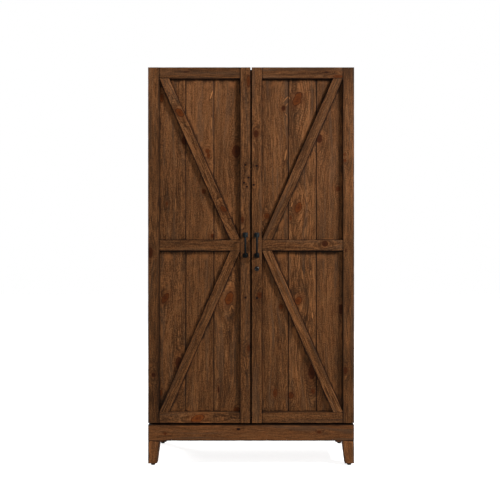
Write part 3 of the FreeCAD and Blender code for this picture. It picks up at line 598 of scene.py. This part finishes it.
# Back board and wall rail: a stained plywood sheet let into the sides, and inside it a rail under the
# top; two holes through both take the screws that tie the cabinet to the wall.
def stained_plywood():
    """Rotary-cut veneer: long wandering growth lines up the sheet, with fine pores and a slow cloud."""
    material, _, shader, place = new_material("stained_plywood")
    lines = worked("POWER", worked("FRACT", scaled(cloudy(place, (5, 5, 0.45), 2), 26.0)), 2.5)
    pores = cloudy(place, (480, 480, 14), 3)
    depth = scaled(lines, -0.1, scaled(pores, 0.45, 0.14))
    depth = scaled(cloudy(place, (9, 9, 1.6), 2), 0.35, depth)
    sheet = graded(depth, [(0.3, lacquer(54, 33, 19)), (0.5, lacquer(88, 55, 32)),
                           (0.7, lacquer(118, 77, 46))])
    feed(shader, {"Base Color": sheet, "Roughness": scaled(pores, 0.2, 0.5), "Specular IOR Level": 0.06,
                  "Normal": bumped(pores, 0.2, 0.3 * MM)})
    return material


def dress(material, *nodes):
    """Gives CAD pieces whose shape is already right their finish."""
    for node in nodes:
        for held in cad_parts[node].material_slots:
            held.material = material


dress(stained_plywood(), "back_panel", "wall_rail")

# Stemware rails: pine webs screwed up under the loose shelf, each with a wider slat below it, so the
# feet of glasses slide in between.
WEB_WIDTH, WEB_HEIGHT, SLAT_WIDTH, RAILS = 20 * MM, 14 * MM, 80 * MM, 5
rails_low, rails_high = extent("stemware_rails")
rail_gap = (rails_high[X] - rails_low[X] - SLAT_WIDTH) / (RAILS - 1)
web_bottom = rails_high[Z] - WEB_HEIGHT
stemware = []
for number in range(RAILS):
    centre = rails_low[X] + SLAT_WIDTH / 2 + number * rail_gap
    for half, low, high in ((WEB_WIDTH / 2, web_bottom, rails_high[Z]),
                            (SLAT_WIDTH / 2, rails_low[Z], web_bottom)):
        stemware.append(squared(np.array([centre - half, rails_low[Y], low]),
                                np.array([centre + half, rails_high[Y], high]), Y, DOWN, 41 + number,
                                ease=1.0 * MM, station=30 * MM))
wooden("stemware_slats", "cabinet", ["stemware_rails"], stemware)

# Bottle bins: in each bay two thin pine boards, halved over each other where they cross, stand in an X
# from corner to corner and hold the bottles lying down.
DIVIDER, DIVIDER_EASE, LAP_CLEAR = 12 * MM, 0.8 * MM, 0.3 * MM
for seed, side in enumerate(("left", "right"), start=53):
    low, high = extent(side + "_bin_dividers")
    wide, tall = high[X] - low[X], high[Z] - low[Z]
    slant = math.hypot(wide, tall)
    along_floor, up_wall = DIVIDER * slant / (2 * tall), DIVIDER * slant / (2 * wide)
    rising = [(low[Z], low[X]), (low[Z] + up_wall, low[X]), (high[Z], high[X] - along_floor),
              (high[Z], high[X]), (high[Z] - up_wall, high[X]), (low[Z], low[X] + along_floor)]
    falling = [(level, low[X] + high[X] - across) for level, across in rising][::-1]
    crossed = []
    for number, corners in enumerate((rising, falling)):
        span = low[Y] + LAP_CLEAR * number, high[Y] - LAP_CLEAR * number
        board = timber(corners, span, Y, seed + number, ease=DIVIDER_EASE, shown=6, station=14 * MM)
        crossed.append(figured(board, UP))
    wooden(f"{side}_bin_boards", "cabinet", [side + "_bin_dividers"], crossed)

# Doors: pine stiles and rails round three V-jointed planks, with a middle rail and two diagonal braces glued
# on in front. They are stained and glazed together, so the glaze has gathered in the joints. On the planks
# painted shade darkens the recess corners, the corners under the rails and the shadows beside some stiles.
BRACE_CUT, BRACE_EASE, DOOR_EASE = 46 * MM, 0.6 * MM, 0.9 * MM
PLANKS, PLANK_BEVEL, PLANK_EASE = 3, 1.7 * MM, 0.5 * MM
# painted shadow in the corners under the top and middle rails: how dark it is and how far down it reaches
RAIL_SHADOW_DEPTH, RAIL_SHADOW_DROP = 0.75, 6 * MM
# how far the dark line on the planks is broadened: beside the outer stile and above the bottom rail glaze
# and painted shade in the recess corners, under the rails painted shade, beside the braces glaze
CORNER_GLAZE_AND_SHADE, UNDER_RAIL_SHADE, BRACE_LINE = 0.5, 0.2, 0.35
RAIL_END_REACH = 4 * MM
WARM_FOOT, COOL_HEAD = np.array([1.0, 1.0, 0.95]), np.array([0.985, 1.005, 1.05])
rubbed, faint = -1.0, -0.7
speck = (4.8, 4.4, 0, 1)
door_knots = {
    "left_outer_stile": [(-472, 997, 10, 22, 0, 0.5), (-457, 426, 9, 9, 0, 0.5),
                         (-433, 1176, 2.5, 35, 0, faint)],
    "left_meeting_stile": [
        (-12, 1798, 8, 24, 0, 0.1), (-41, 1152, 7, 14, 0, 0.2), (-10, 553, 8, 15, 0, 0.1),
        (-26, 1408, *speck), (-12, 1349, *speck), (-33, 1325, *speck), (-20, 1306, *speck),
        (-26, 786, *speck), (-44, 500, 36, 60, -20, FLAME), (-28, 485, 2, 30, -10, faint),
        (-14, 480, 2, 30, 10, faint)],
    "left_bottom_rail": [(-251, 221, 32, 15, -18, 0)],
    "left_top_rail": [(-304, 1843, 16, 2.2, 0, 0.8)],
    "left_upper_brace": [(-334, 1653, 17, 19, 0, 0.1), (-129, 1202, 12, 15, 0, 0.2)],
    "left_planks": [
        (-420, 1725, 8, 19, 0, 0), (-315, 1524, 10, 16, 0, 0.5), (-205, 1474, 9, 10, 0, 0.2),
        (-200, 1453, 7, 10, 0, 0.2), (-69, 1474, 16, 26, 0, 0.5), (-222, 1284, 9, 10, 0, 0.3),
        (-181, 1077, 8, 9, 0, 0.2), (-396, 1228, 5, 10, 0, 0.2), (-403, 784, 12, 25, 32, 0.25),
        (-103, 784, 17, 29, 20, 0.15), (-339, 479, 14, 28, 0, 0.5), (-424, 337, 6, 14, 0, 0.1),
        (-67, 261, 14, 12, 0, 0.1), (-153, 355, 4, 15, 0, 0.7), (-186, 1740, 2.5, 20, 18, rubbed),
        (-186, 1604, 2.2, 28, 0, faint), (-176, 1464, 2, 12, 0, faint), (-356, 1220, 2, 38, 4, faint),
        (-353, 850, 30, 85, -36, FLAME), (-325, 295, 32, 48, 14, FLAME), (-96, 738, 2, 16, 22, faint),
        (-86, 742, 2, 12, -12, faint)],
    "right_outer_stile": [(437, 1457, 6, 6, 0, 0.3), (439, 1429, 6, 6, 0, 0.3), (444, 1008, 3, 7, 0, 0.5),
                          (442, 445, 9, 14, 0, 0.3)],
    "right_meeting_stile": [(23, 1555, 10, 14, 0, 0.55), (41, 798, 11, 12, 0, 0.2), (26, 1404, *speck),
                            (12, 1315, *speck), (27, 784, *speck)],
    "right_top_rail": [(406, 1822, 24, 6, 0, 0), (352, 1842, 10, 3, 0, 0.8)],
    "right_middle_rail": [(346, 1039, 12, 12, 0, 0.5)],
    "right_planks": [
        (218, 1718, 19, 30, 26, 0), (152, 1676, 8, 11, 0, 0.45), (320, 1532, 12, 17, 0, 0.6),
        (409, 1297, 9, 10, 0, 0.2), (223, 1211, 13, 24, 20, 0.1), (75, 1170, 11, 12, 0, 0.2),
        (185, 1159, 5, 9, 0, 0.2), (142, 745, 10, 11, 0, 0.1), (221, 772, 14, 20, 30, 0),
        (423, 731, 9, 21, 0, 0.5), (285, 440, 14, 31, 0, 0.5), (113, 338, 9, 16, 0, 0.1),
        (187, 326, 13, 14, 0, 0.2), (291, 346, 9, 10, 0, 0.2), (161, 1717, 2.2, 20, 43, rubbed),
        (170, 1695, 2.2, 12, 40, rubbed), (179, 1724, 2.2, 9, -34, rubbed),
        (164, 1645, 2.2, 10, -35, rubbed), (168, 1612, 2, 24, 0, faint), (163, 1459, 3.5, 24, 11, rubbed),
        (241, 1265, 2, 45, 7, faint),
        (257, 1265, 2, 45, -10, faint), (253, 1094, 2.2, 28, 6, faint), (191, 1222, 2.2, 12, 20, rubbed),
        (241, 893, 2, 24, 0, faint), (280, 904, 2, 12, 0, faint), (288, 703, 3, 13, 0, rubbed),
        (280, 345, 38, 85, 15, FLAME), (264, 1270, 32, 75, 34, FLAME)],
}
# how light each board is, from its foot to its head or from its outer to its inner end
door_tones = {
    "left_outer_stile": (0.7, 0.75, 0.95, 0.75, 1.2), "left_meeting_stile": (0.85, 0.8, 0.85),
    "left_top_rail": (0.85, 0.85), "left_middle_rail": (0.75, 0.75, 0.95),
    "left_bottom_rail": (0.75, 1.7, 0.75), "left_upper_brace": (0.9, 1.05, 1.0, 1.3),
    "left_lower_brace": (0.8, 0.8, 0.75, 1.1, 1.05),
    "left_planks": [(0.95, 1.0, 1.0, 1.0), (1.0, 0.9, 1.05, 1.5), (0.85, 1.2, 1.0, 1.1)],
    "right_outer_stile": (0.6, 0.85, 0.6, 1.3, 0.4), "right_meeting_stile": (0.95, 0.75, 1.05, 0.95),
    "right_top_rail": (0.9, 0.55, 0.65, 1.15), "right_middle_rail": (0.9, 0.8, 0.75),
    "right_bottom_rail": (0.8, 0.9, 0.65), "right_upper_brace": (0.75, 0.85, 1.0, 0.7, 0.55),
    "right_lower_brace": (1.2, 0.9, 0.95, 1.3, 1.25),
    "right_planks": [(0.65, 0.9, 0.8, 1.15, 0.55), (0.8, 1.1, 1.0, 1.1, 0.85), (0.9, 0.85, 0.95, 0.85)],
}
# where the edges are darkened, by glaze left thick or by painted shade in the gap between the doors, on the
# shaded sides of the stiles and in the shadows beside the left meeting stile and the right outer stile: an
# edge, how thick, how far it reaches, and the levels between which it ends
edge_darkening = {
    "left_outer_stile": [(-430, 0.55, 5, 1900, 2000), (-430, 0.5, 14, 500, 1300)],
    "left_meeting_stile": [(-3, 0.98, 2.5, 1180, 1320), (-51, 0.5, 3, 1900, 2000)],
    "left_planks": [(-51, 0.3, 6, 1900, 2000), (-51, 0.5, 6, 1000, 1060)],
    "right_outer_stile": [(482, 0.25, 5, 1900, 2000), (430, 0.45, 4, 1900, 2000)],
    "right_planks": [(51, 0.4, 5, 900, 1100), (408, 0.36, 11, 1900, 2000)],
}
# how strongly each plank's grain shows, from its foot to its head, and how weathered it is
plank_figure = {"left": [(1.25, 0.9), (1.05, 0.5), (1.1, 0.75)],
                "right": [(1.0, 0.75), (1.15, 1.2), (1.2, 0.9)]}
plank_grey = {"left": (0.35, 0.3, 0.3), "right": (0.3, 0.35, 0.5)}
# how thick the glaze was left in the joints at the ends of the rails
rail_end_glaze = {"top_rail": 0.75, "middle_rail": 0.62, "bottom_rail": 0.75}
for first_seed, side, hand in ((61, "left", 1), (81, "right", -1)):
    body = side + "_door"
    boxes = {}
    for part in ("outer_stile", "meeting_stile", "planks", "upper_brace", "lower_brace", *rail_end_glaze):
        low, high = extent(f"{body}_{part}")
        if side == "right":
            low, high = np.array([-high[X], *low[1:]]), np.array([-low[X], *high[1:]])
        boxes[part] = low, high
    left_edge, right_edge = boxes["outer_stile"][1][X], boxes["meeting_stile"][0][X]
    foot_level, head_level = boxes["outer_stile"][0][Z], boxes["outer_stile"][1][Z]
    panel_skin = boxes["planks"][0][Y] + 2 * PLANK_BEVEL

    def brace_line(part):
        """The left edge of a brace at its foot, its slope, and the level of its foot."""
        low, high = boxes[part]
        lean = (BRACE_CUT + low[X] - high[X]) / (high[Z] - low[Z]) * (1 if part == "upper_brace" else -1)
        return (low[X] if lean > 0 else high[X] - BRACE_CUT), lean, low[Z]

    def frame_gap(across, level):
        """The way on the planks from each point to the nearest stile, rail or brace edge, made shorter where
        the dark line along that edge is broad: glaze in the joints, broadened into painted shade in the
        recess corners beside the outer stile and above the bottom rail, and under the rails."""
        rail_low, rail_high = boxes["middle_rail"][0][Z], boxes["middle_rail"][1][Z]
        gaps = [CORNER_GLAZE_AND_SHADE * (across - left_edge), right_edge - across,
                CORNER_GLAZE_AND_SHADE * (level - boxes["bottom_rail"][1][Z]),
                UNDER_RAIL_SHADE * (boxes["top_rail"][0][Z] - level),
                np.maximum(level - rail_high, UNDER_RAIL_SHADE * (rail_low - level))]
        for part in ("upper_brace", "lower_brace"):
            foot, lean, bottom = brace_line(part)
            edge = foot + lean * (level - bottom)
            beside = np.maximum(edge - across, across - edge - BRACE_CUT) / math.hypot(1, lean)
            gaps.append(np.where((level > rail_low) == (part == "upper_brace"), BRACE_LINE * beside, 1))
        return np.min(gaps, axis=0)

    def painted_rail_shadow(level):
        """Painted shadow in the corners under the top and middle rails: a bell of the way down from each."""
        return 1 - sum(RAIL_SHADOW_DEPTH * np.exp(-((boxes[rail][0][Z] - level) / RAIL_SHADOW_DROP) ** 2)
                       for rail in ("top_rail", "middle_rail"))

    def door_board(part, corners, span, along, seed, tones=None, lean=0, foot=0, edge=2.5, bold=(1.0,),
                   grey=0.35, **how):
        """One of the door's boards: worked out upright for the left door, leaned, then turned over for the
        right. Its edges' glaze is narrower than the usual by the edge factor."""
        board = timber(corners, span, along, first_seed + seed, **how)
        board["rim"] *= edge
        knots = [(hand * place - lean * (level * MM - foot) / MM, level, wide, tall,
                  turn if ink == FLAME else hand * turn, ink)
                 for place, level, wide, tall, turn, ink in door_knots.get(f"{side}_{part}", ())]
        figured(board, FRONT, knots, grey=grey)
        way = board["points"][:, along]
        board["bold"] = np.interp(way, np.linspace(*span, len(bold)), bold)
        share = (board["points"][:, Z:] - foot_level) / (head_level - foot_level)
        board["tint"] *= WARM_FOOT + share * (COOL_HEAD - WARM_FOOT)
        tones = tones or door_tones[f"{side}_{part}"]
        board["tint"] *= np.interp(way, np.linspace(*span, len(tones)), tones)[:, None]
        board["points"][:, X] += lean * (board["points"][:, Z] - foot)
        return board if side == "left" else flipped(board)

    def darken_edges(board, part):
        """Darkens along an upright edge, with glaze left thick or with painted shade: it dies away with the
        way from the edge, and up between two levels."""
        across, deep, level = board["points"].T
        for edge, thick, reach, full, none in edge_darkening.get(f"{side}_{part}", ()):
            away = np.abs(across - edge * MM) / (reach * MM)
            left = np.interp(level, (full * MM, none * MM), (1, 0)) * (deep < panel_skin)
            board["tint"] *= (1 - thick * left * np.exp(-away ** 1.2))[:, None]
        return board

    low, high = boxes["outer_stile"]
    corners = [(low[X], low[Y]), (high[X], low[Y]), (high[X], high[Y]), (low[X] + HINGE_BEVEL, high[Y]),
               (low[X], high[Y] - HINGE_BEVEL)]
    board = door_board("outer_stile", corners, (low[Z], high[Z]), Z, 0, ease=DOOR_EASE)
    wooden(f"{side}_outer_stile", body, [f"{body}_outer_stile"], [darken_edges(board, "outer_stile")])
    low, high = boxes["meeting_stile"]
    board = door_board("meeting_stile", rectangle(low, high, Z, FRONT), (low[Z], high[Z]), Z, 1,
                       ease=DOOR_EASE, station=2.5 * MM)
    wooden(f"{side}_meeting_stile", body, [f"{body}_meeting_stile"], [darken_edges(board, "meeting_stile")])
    for seed, (part, thick) in enumerate(rail_end_glaze.items(), start=2):
        board = door_board(part, rectangle(*boxes[part], X, FRONT), (left_edge, right_edge), X, seed,
                           ease=DOOR_EASE, station=4 * MM)
        across = hand * board["points"][:, X]
        end_gap = np.minimum(across - left_edge, right_edge - across)
        board["tint"] *= (1 - thick * np.exp(-(end_gap / RAIL_END_REACH) ** 2))[:, None]
        wooden(f"{side}_{part}", body, [f"{body}_{part}"], [board])

    low, high = boxes["planks"]
    plank = (high[X] - low[X]) / PLANKS
    planks = []
    for number in range(PLANKS):
        start, stop = low[X] + number * plank, low[X] + (number + 1) * plank
        corners = [(start + PLANK_BEVEL, low[Y]), (stop - PLANK_BEVEL, low[Y]), (stop, low[Y] + PLANK_BEVEL),
                   (stop, high[Y]), (start, high[Y]), (start, low[Y] + PLANK_BEVEL)]
        board = door_board("planks", corners, (low[Z], high[Z]), Z, 5 + number,
                           door_tones[side + "_planks"][number], edge=4.0, bold=plank_figure[side][number],
                           grey=plank_grey[side][number], ease=PLANK_EASE, station=4.5 * MM)
        across, deep, level = board["points"].T
        shows = deep < panel_skin
        beside_frame = np.minimum(board["rim"], frame_gap(hand * across, level))
        board["rim"] = np.where(shows, beside_frame, board["rim"])
        # painted shadow under the rails
        board["tint"] *= np.where(shows, painted_rail_shadow(level), 1)[:, None]
        planks.append(darken_edges(board, "planks"))
    wooden(f"{side}_planks", body, [f"{body}_planks"], planks)

    for seed, part in enumerate(("upper_brace", "lower_brace"), start=9):
        low, high = boxes[part]
        start, lean, bottom = brace_line(part)
        stop = start + BRACE_CUT
        corners = [(start, low[Y]), (stop, low[Y]), (stop, high[Y]), (start, high[Y])]
        board = door_board(part, corners, (low[Z], high[Z]), Z, seed, lean=lean, foot=bottom, bold=(1.25,),
                           ease=BRACE_EASE)
        wooden(f"{side}_{part}", body, [f"{body}_{part}"], [board])


# Hinges, slide bolt, strike and catch plates: small brass fittings, dipped to look old and screwed to
# the doors and the case, where none shows from the front while the doors are shut.
def antiqued_brass():
    """Brass browned by a dip, worn back to yellow in patches."""
    material, _, shader, place = new_material("antiqued_brass")
    worn = cloudy(place, (160, 160, 60), 4, 0.6)
    tint = graded(worn, [(0.35, lacquer(72, 54, 30)), (0.6, lacquer(126, 98, 56)),
                         (0.75, lacquer(172, 138, 82))])
    feed(shader, {"Base Color": tint, "Metallic": 1.0, "Roughness": scaled(worn, -0.35, 0.6),
                  "Normal": bumped(worn, 0.15, 0.2 * MM)})
    return material


dress(antiqued_brass(), "cabinet_hinge_leaves", "hinge_pins", "left_door_hinge_leaves",
      "right_door_hinge_leaves", "left_door_catch_plates", "right_door_catch_plates", "bolt_housing",
      "slide_bolt", "lock_strike")


# Screws, leg bolts and shelf pins: zinc-plated steel. The screws hold the fittings on the wood, the bolts
# hold the legs, and the pins push into the holes in the sides.
def zinc_plate():
    """Zinc plate: grey with a faint spangle that also dulls it."""
    material, _, shader, place = new_material("zinc_plate")
    spangle = fed("TexVoronoi", {"Vector": place, "Scale": 900.0}).outputs["Distance"]
    tint = graded(spangle, [(0.0, lacquer(150, 150, 148)), (1.0, lacquer(196, 196, 192))])
    feed(shader, {"Base Color": tint, "Metallic": 1.0, "Roughness": scaled(spangle, 0.2, 0.3)})
    return material


dress(zinc_plate(), "cabinet_fasteners", "left_door_screws", "right_door_screws", "shelf_pins")


# Magnetic catches: brown moulded plastic cases with a magnet inside, screwed under the top and on the
# bottom just behind the doors, where they draw the doors' plates shut.
def catch_plastic():
    """Brown moulded plastic with a fine spark-eroded grain."""
    material, _, shader, place = new_material("catch_plastic")
    grain = cloudy(place, (1800,) * 3, 2)
    tint = graded(cloudy(place, (60,) * 3, 2), [(0.3, lacquer(58, 40, 28)), (0.7, lacquer(76, 54, 38))])
    feed(shader, {"Base Color": tint, "Roughness": scaled(grain, 0.2, 0.4),
                  "Normal": bumped(grain, 0.2, 0.1 * MM)})
    return material


dress(catch_plastic(), "magnetic_catches")


# Pulls: a round black iron bar bent back at both ends and forged out into square pads that are screwed
# to the meeting stiles from inside.
def black_iron():
    """Forged iron blackened with oil: hammer dimples, a bluish scale and grey where hands have rubbed it,
    with painted shade darkening the lower end and painted light lifting the top."""
    material, _, shader, place = new_material("black_iron")
    dimples = fed("TexVoronoi", {"Vector": place, "Scale": 210.0}, feature="SMOOTH_F1").outputs["Distance"]
    scale = cloudy(place, (260,) * 3, 4)
    tint = graded(scale, [(0.35, lacquer(19, 22, 23)), (0.6, lacquer(31, 35, 36)),
                          (0.78, lacquer(60, 63, 63))])
    # painted shade and light: darker at the pull's lower end, lighter at its top
    shade_low_light_high = eased(fed("SeparateXYZ", {0: place}).outputs["Z"], 1.0, 1.08, 0.35, 1.2)
    feed(shader, {"Base Color": blended(1.0, tint, shade_low_light_high, "MULTIPLY"), "Specular IOR Level": 0.04,
                  "Roughness": scaled(scale, 0.3, 0.3), "Normal": bumped(dimples, 0.35, 0.6 * MM)})
    return material


IRON = black_iron()
BAR_RADIUS, BEND_RADIUS, PAD_HEIGHT, BAR_STATIONS = 4.5 * MM, 11 * MM, 21 * MM, 24
# the pad as it narrows to the post: way out from the door, half width and half height, and squareness
PAD_MM = np.array([(0.0, 11.8, 10.9), (0.6, 12.0, 11.1), (1.6, 11.8, 10.9), (2.8, 10.8, 10.0),
                   (4.4, 9.2, 8.6), (6.0, 7.6, 7.2), (7.8, 6.0, 5.8), (9.4, 5.0, 4.9), (11.0, 4.5, 4.5)])
PAD_SQUARENESS = np.array([9, 8, 8, 7, 5, 3.6, 2.7, 2.2, 2.0])
POST_START = 12.5 * MM


def there_and_back(end, between):
    """What goes along the pull from one pad to the other: an end, the bar between and the end reversed."""
    return np.concatenate([end, np.broadcast_to(between, BAR_STATIONS), end[::-1]])


for side in ("left", "right"):
    node = f"{side}_door_pull"
    low, high = extent(node)
    middle = (low + high) / 2
    reach = high[Y] - low[Y] - BAR_RADIUS
    post_rise = reach - BEND_RADIUS
    post = high[Z] - PAD_HEIGHT / 2 - middle[Z]
    out = np.concatenate([PAD_MM[:, 0] * MM, np.linspace(POST_START, post_rise, 3)])
    turn = np.linspace(0, math.pi / 2, 10)[1:]
    beyond_pad = len(out) + len(turn) - len(PAD_MM)
    bar = np.full(beyond_pad, BAR_RADIUS)
    path_out = there_and_back(np.concatenate([out, post_rise + BEND_RADIUS * np.sin(turn)]), reach)
    lower_up = np.concatenate([np.zeros(len(out)), BEND_RADIUS * (1 - np.cos(turn))]) - post
    straight = np.linspace(BEND_RADIUS - post, post - BEND_RADIUS, BAR_STATIONS + 2)[1:-1]
    path_up = np.concatenate([lower_up, straight, -lower_up[::-1]])
    half_width = there_and_back(np.concatenate([PAD_MM[:, 1] * MM, bar]), BAR_RADIUS)
    half_height = there_and_back(np.concatenate([PAD_MM[:, 2] * MM, bar]), BAR_RADIUS)
    square = there_and_back(np.concatenate([PAD_SQUARENESS, np.full(beyond_pad, 2.0)]), 2.0)
    heading = np.concatenate([np.zeros(len(out)), turn, np.full(BAR_STATIONS, math.pi / 2),
                              math.pi - turn[::-1], np.full(len(out), math.pi)])
    around = np.linspace(0, 2 * math.pi, 36, endpoint=False)
    wave, rise = np.cos(around), np.sin(around)
    exponent = (2 / square)[:, None]
    across = half_width[:, None] * np.sign(wave) * np.abs(wave) ** exponent
    within = half_height[:, None] * np.sign(rise) * np.abs(rise) ** exponent
    rings = np.stack([middle[X] + across,
                      high[Y] - path_out[:, None] + within * np.sin(heading)[:, None],
                      middle[Z] + path_up[:, None] + within * np.cos(heading)[:, None]], axis=-1)
    closed_rings(f"{side}_bar_pull", rings, f"{side}_door", [node], IRON)


# Lock: a blackened cam lock through the right meeting stile, held by a nut inside; a flat key turns its
# plug, which swings the cam up behind a strike under the serving shelf.
def blackened_nickel():
    """Nickel gone dark, with bright rubbed spots."""
    material, _, shader, place = new_material("blackened_nickel")
    rub = cloudy(place, (420,) * 3, 3)
    tint = graded(rub, [(0.35, lacquer(3, 3, 3)), (0.62, lacquer(8, 8, 7)), (0.8, lacquer(30, 28, 25))])
    feed(shader, {"Base Color": tint, "Specular IOR Level": 0.13, "Roughness": scaled(rub, 0.12, 0.18)})
    return material


NICKEL = blackened_nickel()
dress(NICKEL, "lock_nut", "lock_cam")
lock_low, lock_high = extent("lock_cylinder")
lock_length = (lock_high[Y] - lock_low[Y]) / MM
LOCK_PROFILE = [(0.9, 6.1), (0.2, 6.3), (0, 6.6), (0.02, 6.9), (0.15, 7.09), (2.25, 10.14), (2.4, 10.36),
                (2.42, 11.0), (2.5, 11.5), (2.5, 9.0), (lock_length, 9.0), (lock_length, 6.1)]
lock_centre = (lock_low + lock_high) / 2 * (1, 0, 1) + lock_low * (0, 1, 0)
turned("lock_bezel", LOCK_PROFILE, lock_centre, Y, "right_door", ["lock_cylinder"], NICKEL)

# Stage: a pale floor that fades into a white room, with a soft lamp high on the right, a weak one on the
# left, a wide one behind for the cabinet's back, and a camera square to the doors.
FLOOR_HALF, FLOOR_GLOW, ROOM_LIGHT = 14.0, 0.88, 0.09
WHITE = (1, 1, 1, 1)


def seen_directly(tree):
    """1 where a surface is seen straight, mirrored or through glass, and 0 where it only lights others."""
    path = shader_node(tree, "LightPath").outputs
    bounced = worked("MAXIMUM", path["Is Glossy Ray"], path["Is Transmission Ray"])
    return worked("MAXIMUM", path["Is Camera Ray"], bounced)


floor_mesh = bpy.data.meshes.new("floor")
floor_mesh.from_pydata([(-FLOOR_HALF, -FLOOR_HALF, 0), (FLOOR_HALF, -FLOOR_HALF, 0),
                        (FLOOR_HALF, FLOOR_HALF, 0), (-FLOOR_HALF, FLOOR_HALF, 0)], [], [(0, 1, 2, 3)])
floor = bpy.data.objects.new("floor", floor_mesh)
bpy.context.scene.collection.objects.link(floor)
floor_paint, tree, shader, _ = new_material("floor_paint")
feed(shader, {"Base Color": (0.8, 0.8, 0.8, 1), "Roughness": 0.9, "Emission Color": WHITE,
              "Emission Strength": scaled(seen_directly(tree), FLOOR_GLOW)})
floor_mesh.materials.append(floor_paint)

room = bpy.data.worlds.new("white_room")
bpy.context.scene.world = room
room.use_nodes = True
background = room.node_tree.nodes["Background"]
room_glow = scaled(seen_directly(room.node_tree), 1 - ROOM_LIGHT, ROOM_LIGHT)
feed(background, {"Color": WHITE, "Strength": room_glow})


def lamp(name, place, aim, size, power):
    light = bpy.data.lights.new(name, "AREA")
    light.shape = "DISK"
    light.size, light.energy = size, power
    item = bpy.data.objects.new(name, light)
    item.location = place
    toward = np.array(aim) - np.array(place)
    flat = math.hypot(toward[X], toward[Y])
    item.rotation_euler = (math.atan2(flat, -toward[Z]), 0, math.atan2(toward[Y], toward[X]) - math.pi / 2)
    bpy.context.scene.collection.objects.link(item)


lamp("key_lamp", place=(2.55, -1.5, 2.95), aim=(0.1, -0.2, 1.1), size=0.55, power=165)
lamp("left_lamp", place=(-2.6, -2.6, 2.2), aim=(0, -0.2, 1.0), size=0.4, power=12)
lamp("back_lamp", place=(-3.8, 3.6, 2.8), aim=(-0.1, 0.1, 1.0), size=2.4, power=260)

CAMERA_AWAY, VIEW_WIDTH = 3.7, 2.3405
PHOTO_PIXELS, MIDDLE_COLUMN, FLOOR_ROW = 500, 251.09, 465.7
metres_per_pixel = VIEW_WIDTH / PHOTO_PIXELS
camera_data = bpy.data.cameras.new("front_view")
camera_data.lens = camera_data.sensor_width * CAMERA_AWAY / VIEW_WIDTH
camera = bpy.data.objects.new("front_view", camera_data)
camera.location = ((PHOTO_PIXELS / 2 - MIDDLE_COLUMN) * metres_per_pixel, apron_low[Y] - CAMERA_AWAY,
                   (FLOOR_ROW - PHOTO_PIXELS / 2) * metres_per_pixel)
camera.rotation_euler = (math.pi / 2, 0, 0)
bpy.context.scene.collection.objects.link(camera)
bpy.context.scene.camera = camera
bpy.context.scene.view_settings.view_transform = "Standard"
